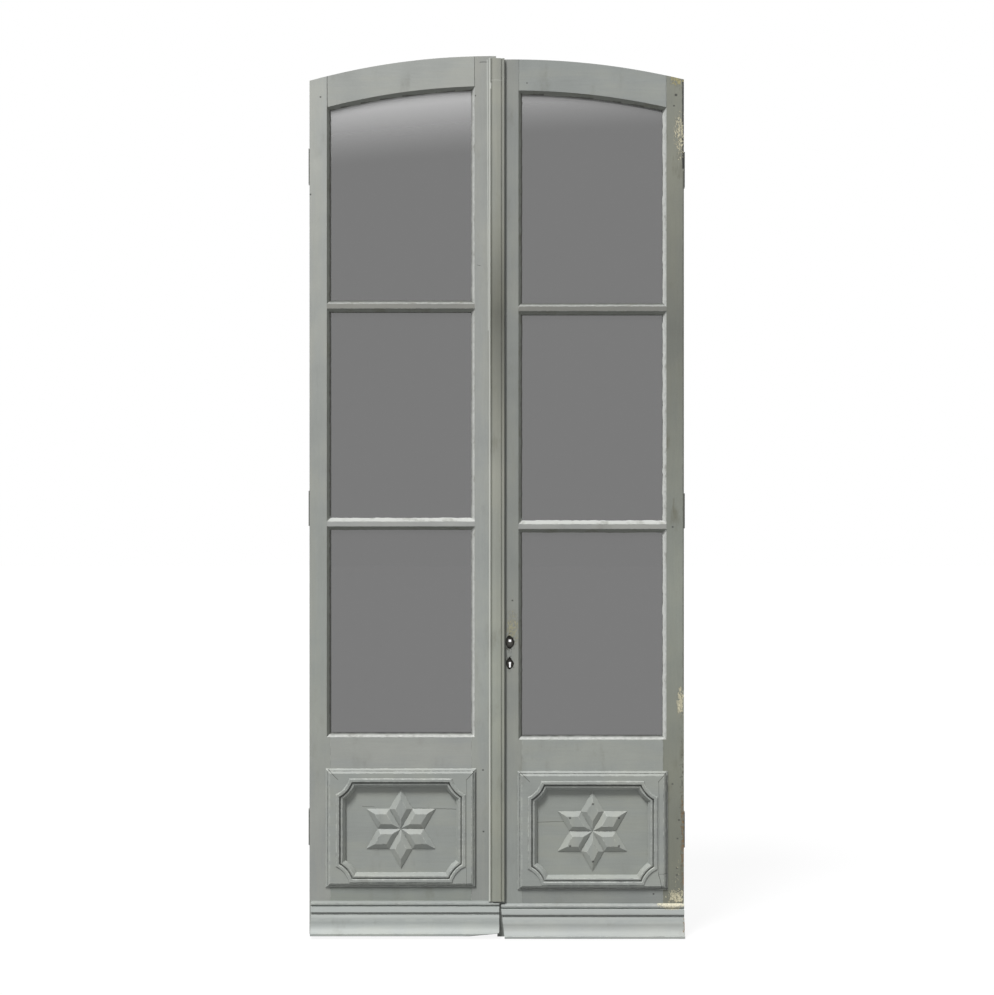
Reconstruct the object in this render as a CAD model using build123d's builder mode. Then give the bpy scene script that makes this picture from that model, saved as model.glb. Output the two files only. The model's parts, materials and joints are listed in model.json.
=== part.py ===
from build123d import *
from dataclasses import dataclass
from math import atan, cos, degrees, hypot, radians, sin, sqrt, tan
import os

# Pair of tall painted wooden door leaves with a segmental arched top. Each leaf has three
# glazed panes over one framed panel with an applied star. The pair hangs on lift-off hinges.
# X runs to the right as seen from outside, Y runs inwards, Z runs up. The origin lies on the
# meeting line, in the middle of the leaf's thickness, at the foot of the right leaf.

os.makedirs("parts", exist_ok=True)

# Leaf outline
LEAF_REACH = 585.0  # meeting line to a leaf's outer edge
MEETING_GAP = 4.0  # between the two meeting edges
LEAF_THICKNESS = 36.0
ABOVE_CROWN = 250.0  # outlines run this far past the crown, and the arch trims them
LEFT_LIFT = 8.0  # the left leaf hangs this much higher
LEFT_CROWN_FROM_MEETING = 15.0
LEFT_CROWN_HEIGHT = 2751.5
LEFT_ARCH_RADIUS = 2143.0
LEFT_TOP_RAIL_DEPTH = 94.0
RIGHT_CROWN_FROM_MEETING = 54.0
RIGHT_CROWN_HEIGHT = 2741.0
RIGHT_ARCH_RADIUS = 2287.0
RIGHT_TOP_RAIL_DEPTH = 97.0

# Stiles and rails, by the faces that show from outside
HINGE_STILE_WIDTH = 54.0
MEETING_STILE_WIDTH = 66.0
BOTTOM_RAIL_TOP = 165.0
MID_RAIL_BOTTOM = 500.0
MID_RAIL_TOP = 615.0
LOWER_BAR_HEIGHT = 1281.0
UPPER_BAR_HEIGHT = 1962.0
BAR_FACE = 15.0  # a glazing bar's front face
BAR_NOSE = 6.0  # bevel along a glazing bar's two inside edges

# Glazing
REBATE_WIDTH = 11.0
REBATE_DEPTH = 16.0
GLASS_THICKNESS = 3.0
GLASS_PLAY = 2.0  # between a pane's edge and its rebate
PUTTY_SETBACK = 0.5  # putty starts this far behind the front face

# Joints in the wood
TENON_THICKNESS = 12.0
TENON_LENGTH = 40.0
TENON_SHOULDER = 16.0  # above and below a rail's tenon
BAR_TENON_LENGTH = 14.0
BAR_TENON_HEIGHT = 12.0
JOINT_PLAY = 0.3  # round a tenon or a panel edge

# Panel and the moulding applied round it
PANEL_THICKNESS = 12.0
PANEL_SETBACK = 8.0  # panel ground behind the stile's face
PANEL_TONGUE = 8.0  # how far a panel edge enters its groove
MOULDING_WIDTH = 470.0
MOULDING_BOTTOM = 146.5
MOULDING_HEIGHT = 371.0
MOULDING_THICKNESS = 12.0
MOULDING_CHAMFER = 14.0
MOULDING_CHAMFER_FALL = 9.0
MOULDING_GROOVE = 6.5  # from the moulding's outer edge to the groove along its chamfer
MOULDING_GROOVE_WIDTH = 1.5
MOULDING_GROOVE_FLOOR = 5.5  # height over the stile's face
SIDE_BOARD = 32.0  # from the moulding's outer edge to the beads, at the stiles
RAIL_BOARD = 22.5  # the same at the rails, on average
BEADS_DROP = 7.0  # middle of the beads below the middle of the moulding
BEAD_BAND = 30.0  # width of the bead, the quirk and the inner slope together
QUIRK = 4.0
QUIRK_FLOOR = 6.0  # height of the quirk's floor over the stile's face
BEAD_WIDTH = 12.0
BEAD_HEIGHT = 15.5
BEAD_OUTER_CHAMFER = 3.0
BEAD_INNER_CHAMFER = 2.0
INNER_HEIGHT = 10.0  # flat between the quirk and the inner slope
INNER_SLOPE = 9.0
INNER_SLOPE_FALL = 12.0
CORNER_ACROSS = 42.0  # hollow corner, along the rail
CORNER_UP = 50.0  # hollow corner, along the stile
CORNER_BOW = 8.0  # how far the corner's arc bows into the panel

# Star of six lozenges
STAR_RADIUS = 125.0
STAR_DROP = 4.0  # star's centre below the middle of the moulding
LOZENGE_EDGE = 2.0  # upright edge under the bevel
LOZENGE_BEVEL = 15.5
LOZENGE_BEVEL_RISE = 9.0
LOZENGE_JOINT = 0.4  # from a lozenge's tips to the centre and to the star's rim

# Weatherboard along the foot of each leaf
WEATHER_HEIGHT = 104.0
WEATHER_REACH = 38.0
WEATHER_LIP = 12.0  # reach of the small upper moulding
WEATHER_LIP_HEIGHT = 5.0
WEATHER_COVE_WIDTH = 6.0  # reach of the cove under the lip
WEATHER_BAND = 15.0  # reach of the flat band
WEATHER_BAND_TOP = 88.0
WEATHER_BAND_FOOT = 71.0
WEATHER_NECK = 9.5  # reach at the neck under the band
WEATHER_NECK_FOOT = 64.0
WEATHER_SWELL = 21.0  # reach where the swell turns into the hollow
WEATHER_SWELL_DROP = 20.0
WEATHER_SWELL_BULGE = 2.0
WEATHER_HOLLOW_SAG = 5.0
WEATHER_NOSE = 9.0  # upright face at the foot
WEATHER_NOSE_CHAMFER = 2.0
WEATHER_UNDERCUT = 8.0  # how far back the nose's underside rises to it
LEFT_WEATHER_LAP = 8.0  # the left one passes the meeting line by this
LEFT_WEATHER_SHORT = 5.0  # and stops this far short of the leaf's outer edge
RIGHT_WEATHER_INSET = 14.0  # the right one starts this far from the meeting line
RIGHT_WEATHER_SPLAY = 11.0  # and is cut back this much more at its nose
LAP_CLEARANCE = 1.0  # between anything that laps the other leaf and that leaf's face

# Cover strip on the meeting edge
ASTRAGAL_WIDTH = 49.0
ASTRAGAL_THICKNESS = 15.0
ASTRAGAL_BEAD = 8.0
ASTRAGAL_QUIRK = 3.0
ASTRAGAL_QUIRK_DEPTH = 4.0
ASTRAGAL_CROWN = 1.5
ASTRAGAL_BELOW_CROWN = 10.0

# Lift-off hinges
BOTTOM_HINGE_HEIGHT = 330.0
MIDDLE_HINGE_HEIGHT = 1330.0
TOP_HINGE_BELOW_CROWN = 341.0
HINGE_NAMES = ("bottom", "middle", "top")
PLATE_HEIGHT = 110.0
PLATE_THICKNESS = 2.5
PLATE_INTO_EDGE = 20.0  # plate's width on the edge, from the inside face
PLATE_SCREWS = 2
SCREW_SPACING = 64.0
JAMB_GAP = 2.0  # leaf edge to the jamb
KNUCKLE_RADIUS = 6.0
KNUCKLE_STANDOFF = 7.0  # pin's axis behind the inside face
KNUCKLE_GAP = 0.4  # between the two halves of a knuckle
PIN_RADIUS = 4.0
PIN_PLAY = 0.05
PIN_REACH = 46.0  # each way from the middle of the hinge

# Wood screws
SCREW_RADIUS = 2.4
SCREW_HEAD_RADIUS = 4.6
SCREW_LENGTH = 26.0
SCREW_HOLE_RADIUS = 2.6
COUNTERSINK = 1.6
EDGE_SCREW_INSET = 8.5  # from the end of a plate on a meeting edge

# Mortise lock in the right leaf
BACKSET = 39.5
SPINDLE_HEIGHT = 923.0
LOCK_CENTRES = 70.0  # spindle down to the key
CASE_DEPTH = 54.0
CASE_THICKNESS = 14.0
CASE_WALL = 1.5
CASE_ABOVE = 42.0  # over the spindle
CASE_BELOW = 28.0  # under the key
CASE_PLAY = 0.5
FACE_THICKNESS = 3.0
FACE_WIDTH = 20.0
FACE_OVERLAP = 25.0  # faceplate past the case, above and below
HUB_RADIUS = 9.0
HUB_PLAY = 0.05
SPINDLE_SQUARE = 8.0
ARM_RADIUS = 20.0  # hub's axis to the middle of the arm's round end
ARM_WIDTH = 6.0
HUB_TURN = 35.0
LATCH_ABOVE_SPINDLE = 23.0
LATCH_HEIGHT = 14.0
LATCH_HEAD_LENGTH = 15.0
STEM_HEIGHT = 10.0
STEM_LENGTH = 33.0
STEM_NOTCH_HEIGHT = 6.5
STEM_THICKNESS = 8.0
NOTCH_PLAY = 1.0
DEAD_BOLT_ABOVE_KEY = 22.0
DEAD_BOLT_HEIGHT = 24.0
DEAD_BOLT_LENGTH = 38.0
DEAD_BOLT_THROW = 14.0  # the keeps take this and the gap before them
BOLT_THICKNESS = 10.0
BOLT_SETBACK = 0.5  # bolts drawn back behind the faceplate's outside
BOLT_PLAY = 0.4
KEY_ROUND = 4.0
KEY_SLOT_WIDTH = 5.0
KEY_SLOT_DROP = 15.0
WORN_SPINDLE_HOLE = (28.0, 43.0)  # width and height of the broken-out hole
WORN_SPINDLE_DROP = 4.0
WORN_SPINDLE_JAG = 0.7  # width of the hole's upper part over its full width
WORN_KEYHOLE = (25.0, 40.0)
WORN_KEYHOLE_RISE = 1.0
WORN_KEYHOLE_JAG = 0.45
INSIDE_SPINDLE_HOLE = 10.0  # radius of the hole on the inside face

# Strike plate in the left leaf
STRIKE_THICKNESS = 2.5
STRIKE_OVERLAP = 18.0  # past the bolts' holes
KEEP_PLAY = 1.5  # round a bolt, and past its end

# Shoot bolts on the inside of the left leaf
SHOOT_FROM_EDGE = 35.0
SHOOT_PLATE_WIDTH = 36.0
SHOOT_PLATE_LENGTH = 200.0
SHOOT_PLATE_THICKNESS = 2.5
SHOOT_PLATE_INSET = 40.0  # from the leaf's top or foot
SHOOT_BAR_WIDTH = 14.0
SHOOT_BAR_THICKNESS = 6.0
SHOOT_END_INSET = 7.0  # bar's end inside the leaf's edge when drawn back
STAPLE_WALL = 4.0
STAPLE_LENGTH = 14.0
STAPLE_INSET = 12.0
SHOOT_PLAY = 0.4
KNOB_NECK_RADIUS = 4.5
KNOB_RADIUS = 9.0
KNOB_HEIGHT = 20.0
KNOB_NECK_HEIGHT = 10.0
KNOB_RIM_HEIGHT = 15.0
KNOB_TOP_RADIUS = 4.5

FRONT = -LEAF_THICKNESS / 2
BACK = LEAF_THICKNESS / 2
ABOVE_ALL = max(LEFT_CROWN_HEIGHT, RIGHT_CROWN_HEIGHT) + ABOVE_CROWN
MEETING_EDGE = MEETING_GAP / 2
MEETING_ARRIS = MEETING_EDGE + MEETING_STILE_WIDTH
HINGE_ARRIS = LEAF_REACH - HINGE_STILE_WIDTH
MEETING_SHOULDER = MEETING_ARRIS + REBATE_WIDTH
HINGE_SHOULDER = HINGE_ARRIS - REBATE_WIDTH
REBATE_FLOOR = FRONT + REBATE_DEPTH
SHOULDER_SPAN = HINGE_SHOULDER - MEETING_SHOULDER
ARRIS_MIDDLE = (MEETING_ARRIS + HINGE_ARRIS) / 2
PANEL_FACE = FRONT + PANEL_SETBACK
KEEP_DEPTH = DEAD_BOLT_THROW + MEETING_GAP / 2 + KEEP_PLAY
PIN_X = LEAF_REACH + JAMB_GAP / 2
PIN_Y = BACK + KNUCKLE_STANDOFF


@dataclass(frozen=True)
class Leaf:
    """One leaf: which side it is on, how it sits, and the arch that tops it."""

    name: str
    side: int
    lift: float
    crown_x: float
    crown_height: float
    arch_radius: float
    top_rail_depth: float

    @property
    def arch_centre(self):
        return (self.crown_x, self.crown_height - self.arch_radius)

    @property
    def opening_radius(self):
        return self.arch_radius - self.top_rail_depth

    @property
    def hinge_heights(self):
        top = self.crown_height - TOP_HINGE_BELOW_CROWN
        return self.lift + BOTTOM_HINGE_HEIGHT, self.lift + MIDDLE_HINGE_HEIGHT, top


LEFT = Leaf(
    "left",
    -1,
    LEFT_LIFT,
    -LEFT_CROWN_FROM_MEETING,
    LEFT_CROWN_HEIGHT,
    LEFT_ARCH_RADIUS,
    LEFT_TOP_RAIL_DEPTH,
)
RIGHT = Leaf(
    "right",
    1,
    0.0,
    RIGHT_CROWN_FROM_MEETING,
    RIGHT_CROWN_HEIGHT,
    RIGHT_ARCH_RADIUS,
    RIGHT_TOP_RAIL_DEPTH,
)


def facing(y):
    """Plane that looks out of the door at depth y: its X runs right and its Y runs up."""
    return Plane.XZ.offset(-y)


def across(x):
    """Plane square to X at x: its X runs inwards and its Y runs up."""
    return Plane.YZ.offset(x)


def level(z):
    """Level plane at height z."""
    return Plane.XY.offset(z)


def keep(builder, name):
    """Labels a finished piece and writes it."""
    builder.part.label = name
    export_step(builder.part, f"parts/{name}.step")


def span(low, high):
    """Middle and length of a stretch."""
    return (low + high) / 2, high - low


def outline(leaf, x_low, x_high, z_low, z_high, radius=None):
    """Upright rectangle between two distances from the meeting line, cut by the arch if asked."""
    x, width = span(x_low, x_high)
    z, height = span(z_low, z_high)
    with Locations((leaf.side * x, z)):
        Rectangle(width, height)
    if radius:
        with Locations(leaf.arch_centre):
            Circle(radius, mode=Mode.INTERSECT)


def board(leaf, x_low, x_high, z_low, z_high, y_low, y_high, radius=None, mode=Mode.ADD):
    """A board or a cut with square faces, its top trimmed to the arch if a radius is given."""
    with BuildSketch(facing(y_low)) as face:
        outline(leaf, x_low, x_high, z_low, z_high, radius)
    extrude(face.sketch, amount=-(y_high - y_low), mode=mode)


def arch_tenon(leaf, shoulder, tip):
    """Foot and top of the arched rail's tenon between its shoulder and its tip."""
    centre_x, centre_z = leaf.arch_centre
    offsets = [abs(leaf.side * x - centre_x) for x in (shoulder, tip)]
    top = centre_z + sqrt(leaf.arch_radius**2 - max(offsets) ** 2)
    foot = centre_z + sqrt(leaf.opening_radius**2 - min(offsets) ** 2)
    return foot + TENON_SHOULDER / 2, top - TENON_SHOULDER


def tenons(leaf, shoulder, outwards):
    """Ends and heights of each tenon that enters a stile, by the name of its rail or bar."""
    rail_ends = sorted((shoulder, shoulder + outwards * TENON_LENGTH))
    bar_ends = sorted((shoulder, shoulder + outwards * BAR_TENON_LENGTH))
    half = BAR_TENON_HEIGHT / 2
    bottom = (TENON_SHOULDER, BOTTOM_RAIL_TOP - TENON_SHOULDER)
    mid = (MID_RAIL_BOTTOM + TENON_SHOULDER, MID_RAIL_TOP - TENON_SHOULDER)
    lower = (LOWER_BAR_HEIGHT - half, LOWER_BAR_HEIGHT + half)
    upper = (UPPER_BAR_HEIGHT - half, UPPER_BAR_HEIGHT + half)
    return {
        "bottom_rail": (*rail_ends, leaf.lift + bottom[0], leaf.lift + bottom[1]),
        "mid_rail": (*rail_ends, leaf.lift + mid[0], leaf.lift + mid[1]),
        "top_rail": (*rail_ends, *arch_tenon(leaf, shoulder, shoulder + outwards * TENON_LENGTH)),
        "lower_bar": (*bar_ends, leaf.lift + lower[0], leaf.lift + lower[1]),
        "upper_bar": (*bar_ends, leaf.lift + upper[0], leaf.lift + upper[1]),
    }


def both_tenons(leaf, name):
    """Tenons at both ends of a rail or bar."""
    for shoulder, outwards in ((MEETING_SHOULDER, -1), (HINGE_SHOULDER, 1)):
        board(
            leaf,
            *tenons(leaf, shoulder, outwards)[name],
            REBATE_FLOOR,
            REBATE_FLOOR + TENON_THICKNESS,
        )


def cut_mortises(leaf, shoulder, outwards):
    """Mortises in a stile for every rail and bar."""
    for x_low, x_high, z_low, z_high in tenons(leaf, shoulder, outwards).values():
        board(
            leaf,
            x_low - JOINT_PLAY,
            x_high + JOINT_PLAY,
            z_low - JOINT_PLAY,
            z_high + JOINT_PLAY,
            REBATE_FLOOR - JOINT_PLAY,
            REBATE_FLOOR + TENON_THICKNESS + JOINT_PLAY,
            mode=Mode.SUBTRACT,
        )


def cut_panel_groove(leaf, x_low, x_high, z_low, z_high):
    """Groove that takes an edge of the panel."""
    board(
        leaf,
        x_low,
        x_high,
        z_low,
        z_high,
        PANEL_FACE - JOINT_PLAY,
        PANEL_FACE + PANEL_THICKNESS + JOINT_PLAY,
        mode=Mode.SUBTRACT,
    )


def stile_blank(leaf, x_low, x_high, shoulder, outwards):
    """Upright board with its arched top, glazing rebate, panel groove and mortises."""
    board(leaf, x_low, x_high, leaf.lift, ABOVE_ALL, FRONT, BACK, leaf.arch_radius)
    rebate = sorted((shoulder, shoulder + outwards * REBATE_WIDTH))
    board(leaf, *rebate, leaf.lift + MID_RAIL_TOP, ABOVE_ALL, FRONT, REBATE_FLOOR, mode=Mode.SUBTRACT)
    groove = sorted((shoulder, shoulder + outwards * (PANEL_TONGUE + JOINT_PLAY)))
    cut_panel_groove(
        leaf,
        *groove,
        leaf.lift + BOTTOM_RAIL_TOP - PANEL_TONGUE - JOINT_PLAY,
        leaf.lift + MID_RAIL_BOTTOM + PANEL_TONGUE + JOINT_PLAY,
    )
    cut_mortises(leaf, shoulder, outwards)


def screw_heights():
    """Heights of a hinge plate's screws from its middle."""
    first = -SCREW_SPACING * (PLATE_SCREWS - 1) / 2
    return [first + SCREW_SPACING * i for i in range(PLATE_SCREWS)]


def plate_y():
    """Middle of a hinge plate across the leaf's edge."""
    return BACK - PLATE_INTO_EDGE / 2


def hinge_stile(leaf):
    """Outer stile, with the hinge plates' recesses and pilot holes."""
    with BuildPart() as stile:
        stile_blank(leaf, HINGE_SHOULDER, LEAF_REACH, HINGE_SHOULDER, 1)
        for middle in leaf.hinge_heights:
            board(
                leaf,
                LEAF_REACH - PLATE_THICKNESS,
                LEAF_REACH,
                middle - PLATE_HEIGHT / 2,
                middle + PLATE_HEIGHT / 2,
                BACK - PLATE_INTO_EDGE,
                BACK,
                mode=Mode.SUBTRACT,
            )
            for rise in screw_heights():
                with BuildSketch(across(leaf.side * (LEAF_REACH - PLATE_THICKNESS))):
                    with Locations((plate_y(), middle + rise)):
                        Circle(SCREW_RADIUS)
                extrude(
                    amount=-leaf.side * (SCREW_LENGTH - PLATE_THICKNESS), mode=Mode.SUBTRACT
                )
    keep(stile, f"{leaf.name}_hinge_stile")


def case_heights():
    """Foot and top of the lock case."""
    return SPINDLE_HEIGHT - LOCK_CENTRES - CASE_BELOW, SPINDLE_HEIGHT + CASE_ABOVE


def bolt_heights():
    """Foot and top of the dead bolt, then of the latch."""
    dead = SPINDLE_HEIGHT - LOCK_CENTRES + DEAD_BOLT_ABOVE_KEY
    latch = SPINDLE_HEIGHT + LATCH_ABOVE_SPINDLE
    return (
        (dead - DEAD_BOLT_HEIGHT / 2, dead + DEAD_BOLT_HEIGHT / 2),
        (latch - LATCH_HEIGHT / 2, latch + LATCH_HEIGHT / 2),
    )


def face_heights():
    """Foot and top of the lock's faceplate."""
    foot, top = case_heights()
    return foot - FACE_OVERLAP, top + FACE_OVERLAP


def strike_heights():
    """Foot and top of the strike plate."""
    dead, latch = bolt_heights()
    return dead[0] - STRIKE_OVERLAP, latch[1] + STRIKE_OVERLAP


def edge_screw_heights(ends):
    """Heights of the two screws of a plate on a meeting edge."""
    return ends[0] + EDGE_SCREW_INSET, ends[1] - EDGE_SCREW_INSET


def pilot_holes(leaf, ends, depth):
    """Pilot holes behind a plate on a meeting edge."""
    for height in edge_screw_heights(ends):
        with BuildSketch(across(leaf.side * (MEETING_EDGE + depth))) as pilot:
            with Locations((0, height)):
                Circle(SCREW_RADIUS)
        extrude(pilot.sketch, amount=leaf.side * (SCREW_LENGTH - depth), mode=Mode.SUBTRACT)


def keyhole():
    """Outline of the key's way."""
    key = SPINDLE_HEIGHT - LOCK_CENTRES
    with Locations((MEETING_EDGE + BACKSET, key)):
        Circle(KEY_ROUND)
    with Locations((MEETING_EDGE + BACKSET, key - KEY_SLOT_DROP / 2)):
        Rectangle(KEY_SLOT_WIDTH, KEY_SLOT_DROP)


def worn_hole(centre, size, jag):
    """Broken-out hole: an uneven closed curve of the given width and height."""
    x, z = centre
    half_x, half_z = size[0] / 2, size[1] / 2
    rim_shape = (
        (0, 1),
        (jag, 0.55),
        (1, -0.05),
        (0.55, -0.7),
        (-0.1, -1),
        (-0.8, -0.5),
        (-1, 0.2),
        (-jag, 0.75),
    )
    with BuildLine() as rim:
        Spline(*((x + half_x * u, z + half_z * v) for u, v in rim_shape), periodic=True)
    make_face(rim.edges())


def right_meeting_stile():
    """Meeting stile with the lock's mortise and its worn holes."""
    leaf = RIGHT
    spindle_x = MEETING_EDGE + BACKSET
    key = SPINDLE_HEIGHT - LOCK_CENTRES
    with BuildPart() as stile:
        stile_blank(leaf, MEETING_EDGE, MEETING_SHOULDER, MEETING_SHOULDER, -1)
        foot, top = face_heights()
        board(
            leaf,
            MEETING_EDGE,
            MEETING_EDGE + FACE_THICKNESS,
            foot,
            top,
            -FACE_WIDTH / 2,
            FACE_WIDTH / 2,
            mode=Mode.SUBTRACT,
        )
        foot, top = case_heights()
        board(
            leaf,
            MEETING_EDGE,
            MEETING_EDGE + FACE_THICKNESS + CASE_DEPTH + CASE_PLAY,
            foot - CASE_PLAY,
            top + CASE_PLAY,
            -CASE_THICKNESS / 2 - CASE_PLAY,
            CASE_THICKNESS / 2 + CASE_PLAY,
            mode=Mode.SUBTRACT,
        )
        pilot_holes(leaf, face_heights(), FACE_THICKNESS)
        with BuildSketch(facing(FRONT)):
            worn_hole(
                (spindle_x, SPINDLE_HEIGHT - WORN_SPINDLE_DROP), WORN_SPINDLE_HOLE, WORN_SPINDLE_JAG
            )
        extrude(amount=-LEAF_THICKNESS / 2, mode=Mode.SUBTRACT)
        with BuildSketch(facing(FRONT)):
            worn_hole((spindle_x, key + WORN_KEYHOLE_RISE), WORN_KEYHOLE, WORN_KEYHOLE_JAG)
        extrude(amount=-LEAF_THICKNESS / 2, mode=Mode.SUBTRACT)
        with BuildSketch(facing(0)):
            with Locations((spindle_x, SPINDLE_HEIGHT)):
                Circle(INSIDE_SPINDLE_HOLE)
        extrude(amount=-BACK, mode=Mode.SUBTRACT)
        with BuildSketch(facing(0)):
            keyhole()
        extrude(amount=-BACK, mode=Mode.SUBTRACT)
    keep(stile, "right_meeting_stile")


def left_meeting_stile():
    """Meeting stile with the strike plate's recess and the two keeps behind it."""
    leaf = LEFT
    keep_width = BOLT_THICKNESS / 2 + KEEP_PLAY
    with BuildPart() as stile:
        stile_blank(leaf, MEETING_EDGE, MEETING_SHOULDER, MEETING_SHOULDER, -1)
        foot, top = strike_heights()
        board(
            leaf,
            MEETING_EDGE,
            MEETING_EDGE + STRIKE_THICKNESS,
            foot,
            top,
            -FACE_WIDTH / 2,
            FACE_WIDTH / 2,
            mode=Mode.SUBTRACT,
        )
        for low, high in bolt_heights():
            board(
                leaf,
                MEETING_EDGE,
                MEETING_EDGE + KEEP_DEPTH,
                low - KEEP_PLAY,
                high + KEEP_PLAY,
                -keep_width,
                keep_width,
                mode=Mode.SUBTRACT,
            )
        pilot_holes(leaf, strike_heights(), STRIKE_THICKNESS)
    keep(stile, "left_meeting_stile")


def top_rail(leaf):
    """Arched rail between the stiles, rebated below for the top pane."""
    with BuildPart() as rail:
        for x_low, x_high, reach, y_low, y_high in (
            (MEETING_ARRIS, HINGE_ARRIS, 0, FRONT, REBATE_FLOOR),
            (MEETING_SHOULDER, HINGE_SHOULDER, REBATE_WIDTH, REBATE_FLOOR, BACK),
        ):
            with BuildSketch(facing(y_low)):
                outline(leaf, x_low, x_high, UPPER_BAR_HEIGHT, ABOVE_ALL, leaf.arch_radius)
                with Locations(leaf.arch_centre):
                    Circle(leaf.opening_radius - reach, mode=Mode.SUBTRACT)
            extrude(amount=-(y_high - y_low))
        both_tenons(leaf, "top_rail")
    keep(rail, f"{leaf.name}_top_rail")


def mid_rail(leaf):
    """Rail between the bottom pane and the panel."""
    low, high = leaf.lift + MID_RAIL_BOTTOM, leaf.lift + MID_RAIL_TOP
    with BuildPart() as rail:
        board(leaf, MEETING_SHOULDER, HINGE_SHOULDER, low, high, FRONT, BACK)
        board(
            leaf,
            MEETING_SHOULDER,
            HINGE_SHOULDER,
            high,
            high + REBATE_WIDTH,
            REBATE_FLOOR,
            BACK,
        )
        cut_panel_groove(
            leaf, MEETING_SHOULDER, HINGE_SHOULDER, low, low + PANEL_TONGUE + JOINT_PLAY
        )
        both_tenons(leaf, "mid_rail")
    keep(rail, f"{leaf.name}_mid_rail")


def bottom_rail(leaf):
    """Foot rail behind the weatherboard."""
    low, high = leaf.lift, leaf.lift + BOTTOM_RAIL_TOP
    with BuildPart() as rail:
        board(leaf, MEETING_SHOULDER, HINGE_SHOULDER, low, high, FRONT, BACK)
        cut_panel_groove(
            leaf, MEETING_SHOULDER, HINGE_SHOULDER, high - PANEL_TONGUE - JOINT_PLAY, high
        )
        both_tenons(leaf, "bottom_rail")
    keep(rail, f"{leaf.name}_bottom_rail")


def glazing_bar(leaf, height, name):
    """Bar between two panes: a narrow face outside and a wider bevelled back."""
    middle = leaf.lift + height
    face = BAR_FACE / 2
    back = face + REBATE_WIDTH
    with BuildPart() as bar:
        board(leaf, MEETING_ARRIS, HINGE_ARRIS, middle - face, middle + face, FRONT, REBATE_FLOOR)
        start = min(leaf.side * MEETING_SHOULDER, leaf.side * HINGE_SHOULDER)
        with BuildSketch(across(start)):
            with BuildLine():
                Polyline(
                    (REBATE_FLOOR, middle - back),
                    (BACK - BAR_NOSE, middle - back),
                    (BACK, middle - back + BAR_NOSE),
                    (BACK, middle + back - BAR_NOSE),
                    (BACK - BAR_NOSE, middle + back),
                    (REBATE_FLOOR, middle + back),
                    close=True,
                )
            make_face()
        extrude(amount=SHOULDER_SPAN)
        both_tenons(leaf, f"{name}_bar")
    keep(bar, f"{leaf.name}_{name}_bar")


def panes(leaf):
    """Low and high edge of each pane's rebate, from the bottom up; the top one meets the arch."""
    half = BAR_FACE / 2
    return (
        ("bottom", leaf.lift + MID_RAIL_TOP, leaf.lift + LOWER_BAR_HEIGHT - half, None),
        ("middle", leaf.lift + LOWER_BAR_HEIGHT + half, leaf.lift + UPPER_BAR_HEIGHT - half, None),
        ("top", leaf.lift + UPPER_BAR_HEIGHT + half, ABOVE_ALL, leaf.opening_radius),
    )


def pane_outline(leaf, low, high, radius, inset):
    """Outline of a pane's opening, drawn in by an inset all round."""
    outline(
        leaf,
        MEETING_ARRIS + inset,
        HINGE_ARRIS - inset,
        low + inset,
        high - inset,
        radius and radius - inset,
    )


def glass(leaf):
    """Three panes, each a sheet of glass in its rebate."""
    for name, low, high, radius in panes(leaf):
        with BuildPart() as pane:
            with BuildSketch(facing(REBATE_FLOOR - GLASS_THICKNESS)):
                pane_outline(leaf, low, high, radius, GLASS_PLAY)
            extrude(amount=-GLASS_THICKNESS)
        keep(pane, f"{leaf.name}_{name}_pane")


def putty(leaf):
    """Bevelled putty round each pane, thin at the glass and flush with the wood outside."""
    start = FRONT + PUTTY_SETBACK
    end = REBATE_FLOOR - GLASS_THICKNESS
    with BuildPart() as beds:
        for _, low, high, radius in panes(leaf):
            with BuildSketch(facing(start)):
                pane_outline(leaf, low, high, radius, 0)
            extrude(amount=-(end - start))
            with BuildSketch(facing(start)):
                pane_outline(leaf, low, high, radius, PUTTY_SETBACK)
            with BuildSketch(facing(end)):
                pane_outline(leaf, low, high, radius, REBATE_WIDTH)
            loft(ruled=True, mode=Mode.SUBTRACT)
    keep(beds, f"{leaf.name}_putty")


def panel(leaf):
    """Board that fills the foot of the leaf, its edges in the grooves round it."""
    with BuildPart() as ground:
        board(
            leaf,
            MEETING_SHOULDER - PANEL_TONGUE,
            HINGE_SHOULDER + PANEL_TONGUE,
            leaf.lift + BOTTOM_RAIL_TOP - PANEL_TONGUE,
            leaf.lift + MID_RAIL_BOTTOM + PANEL_TONGUE,
            PANEL_FACE,
            PANEL_FACE + PANEL_THICKNESS,
        )
    keep(ground, f"{leaf.name}_panel")


def moulding_centre(leaf):
    """Middle of the applied moulding, as x and height."""
    return leaf.side * ARRIS_MIDDLE, leaf.lift + MOULDING_BOTTOM + MOULDING_HEIGHT / 2


def corner_arc():
    """Centre and radius of the hollow corner's arc, from the middle of the moulding."""
    half_x = MOULDING_WIDTH / 2 - SIDE_BOARD
    half_z = MOULDING_HEIGHT / 2 - RAIL_BOARD
    chord = hypot(CORNER_ACROSS, CORNER_UP)
    radius = chord**2 / (8 * CORNER_BOW) + CORNER_BOW / 2
    away = radius - CORNER_BOW
    centre_x = half_x - CORNER_ACROSS / 2 + away * CORNER_UP / chord
    centre_z = half_z - CORNER_UP / 2 + away * CORNER_ACROSS / chord
    return centre_x, centre_z, radius


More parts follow.
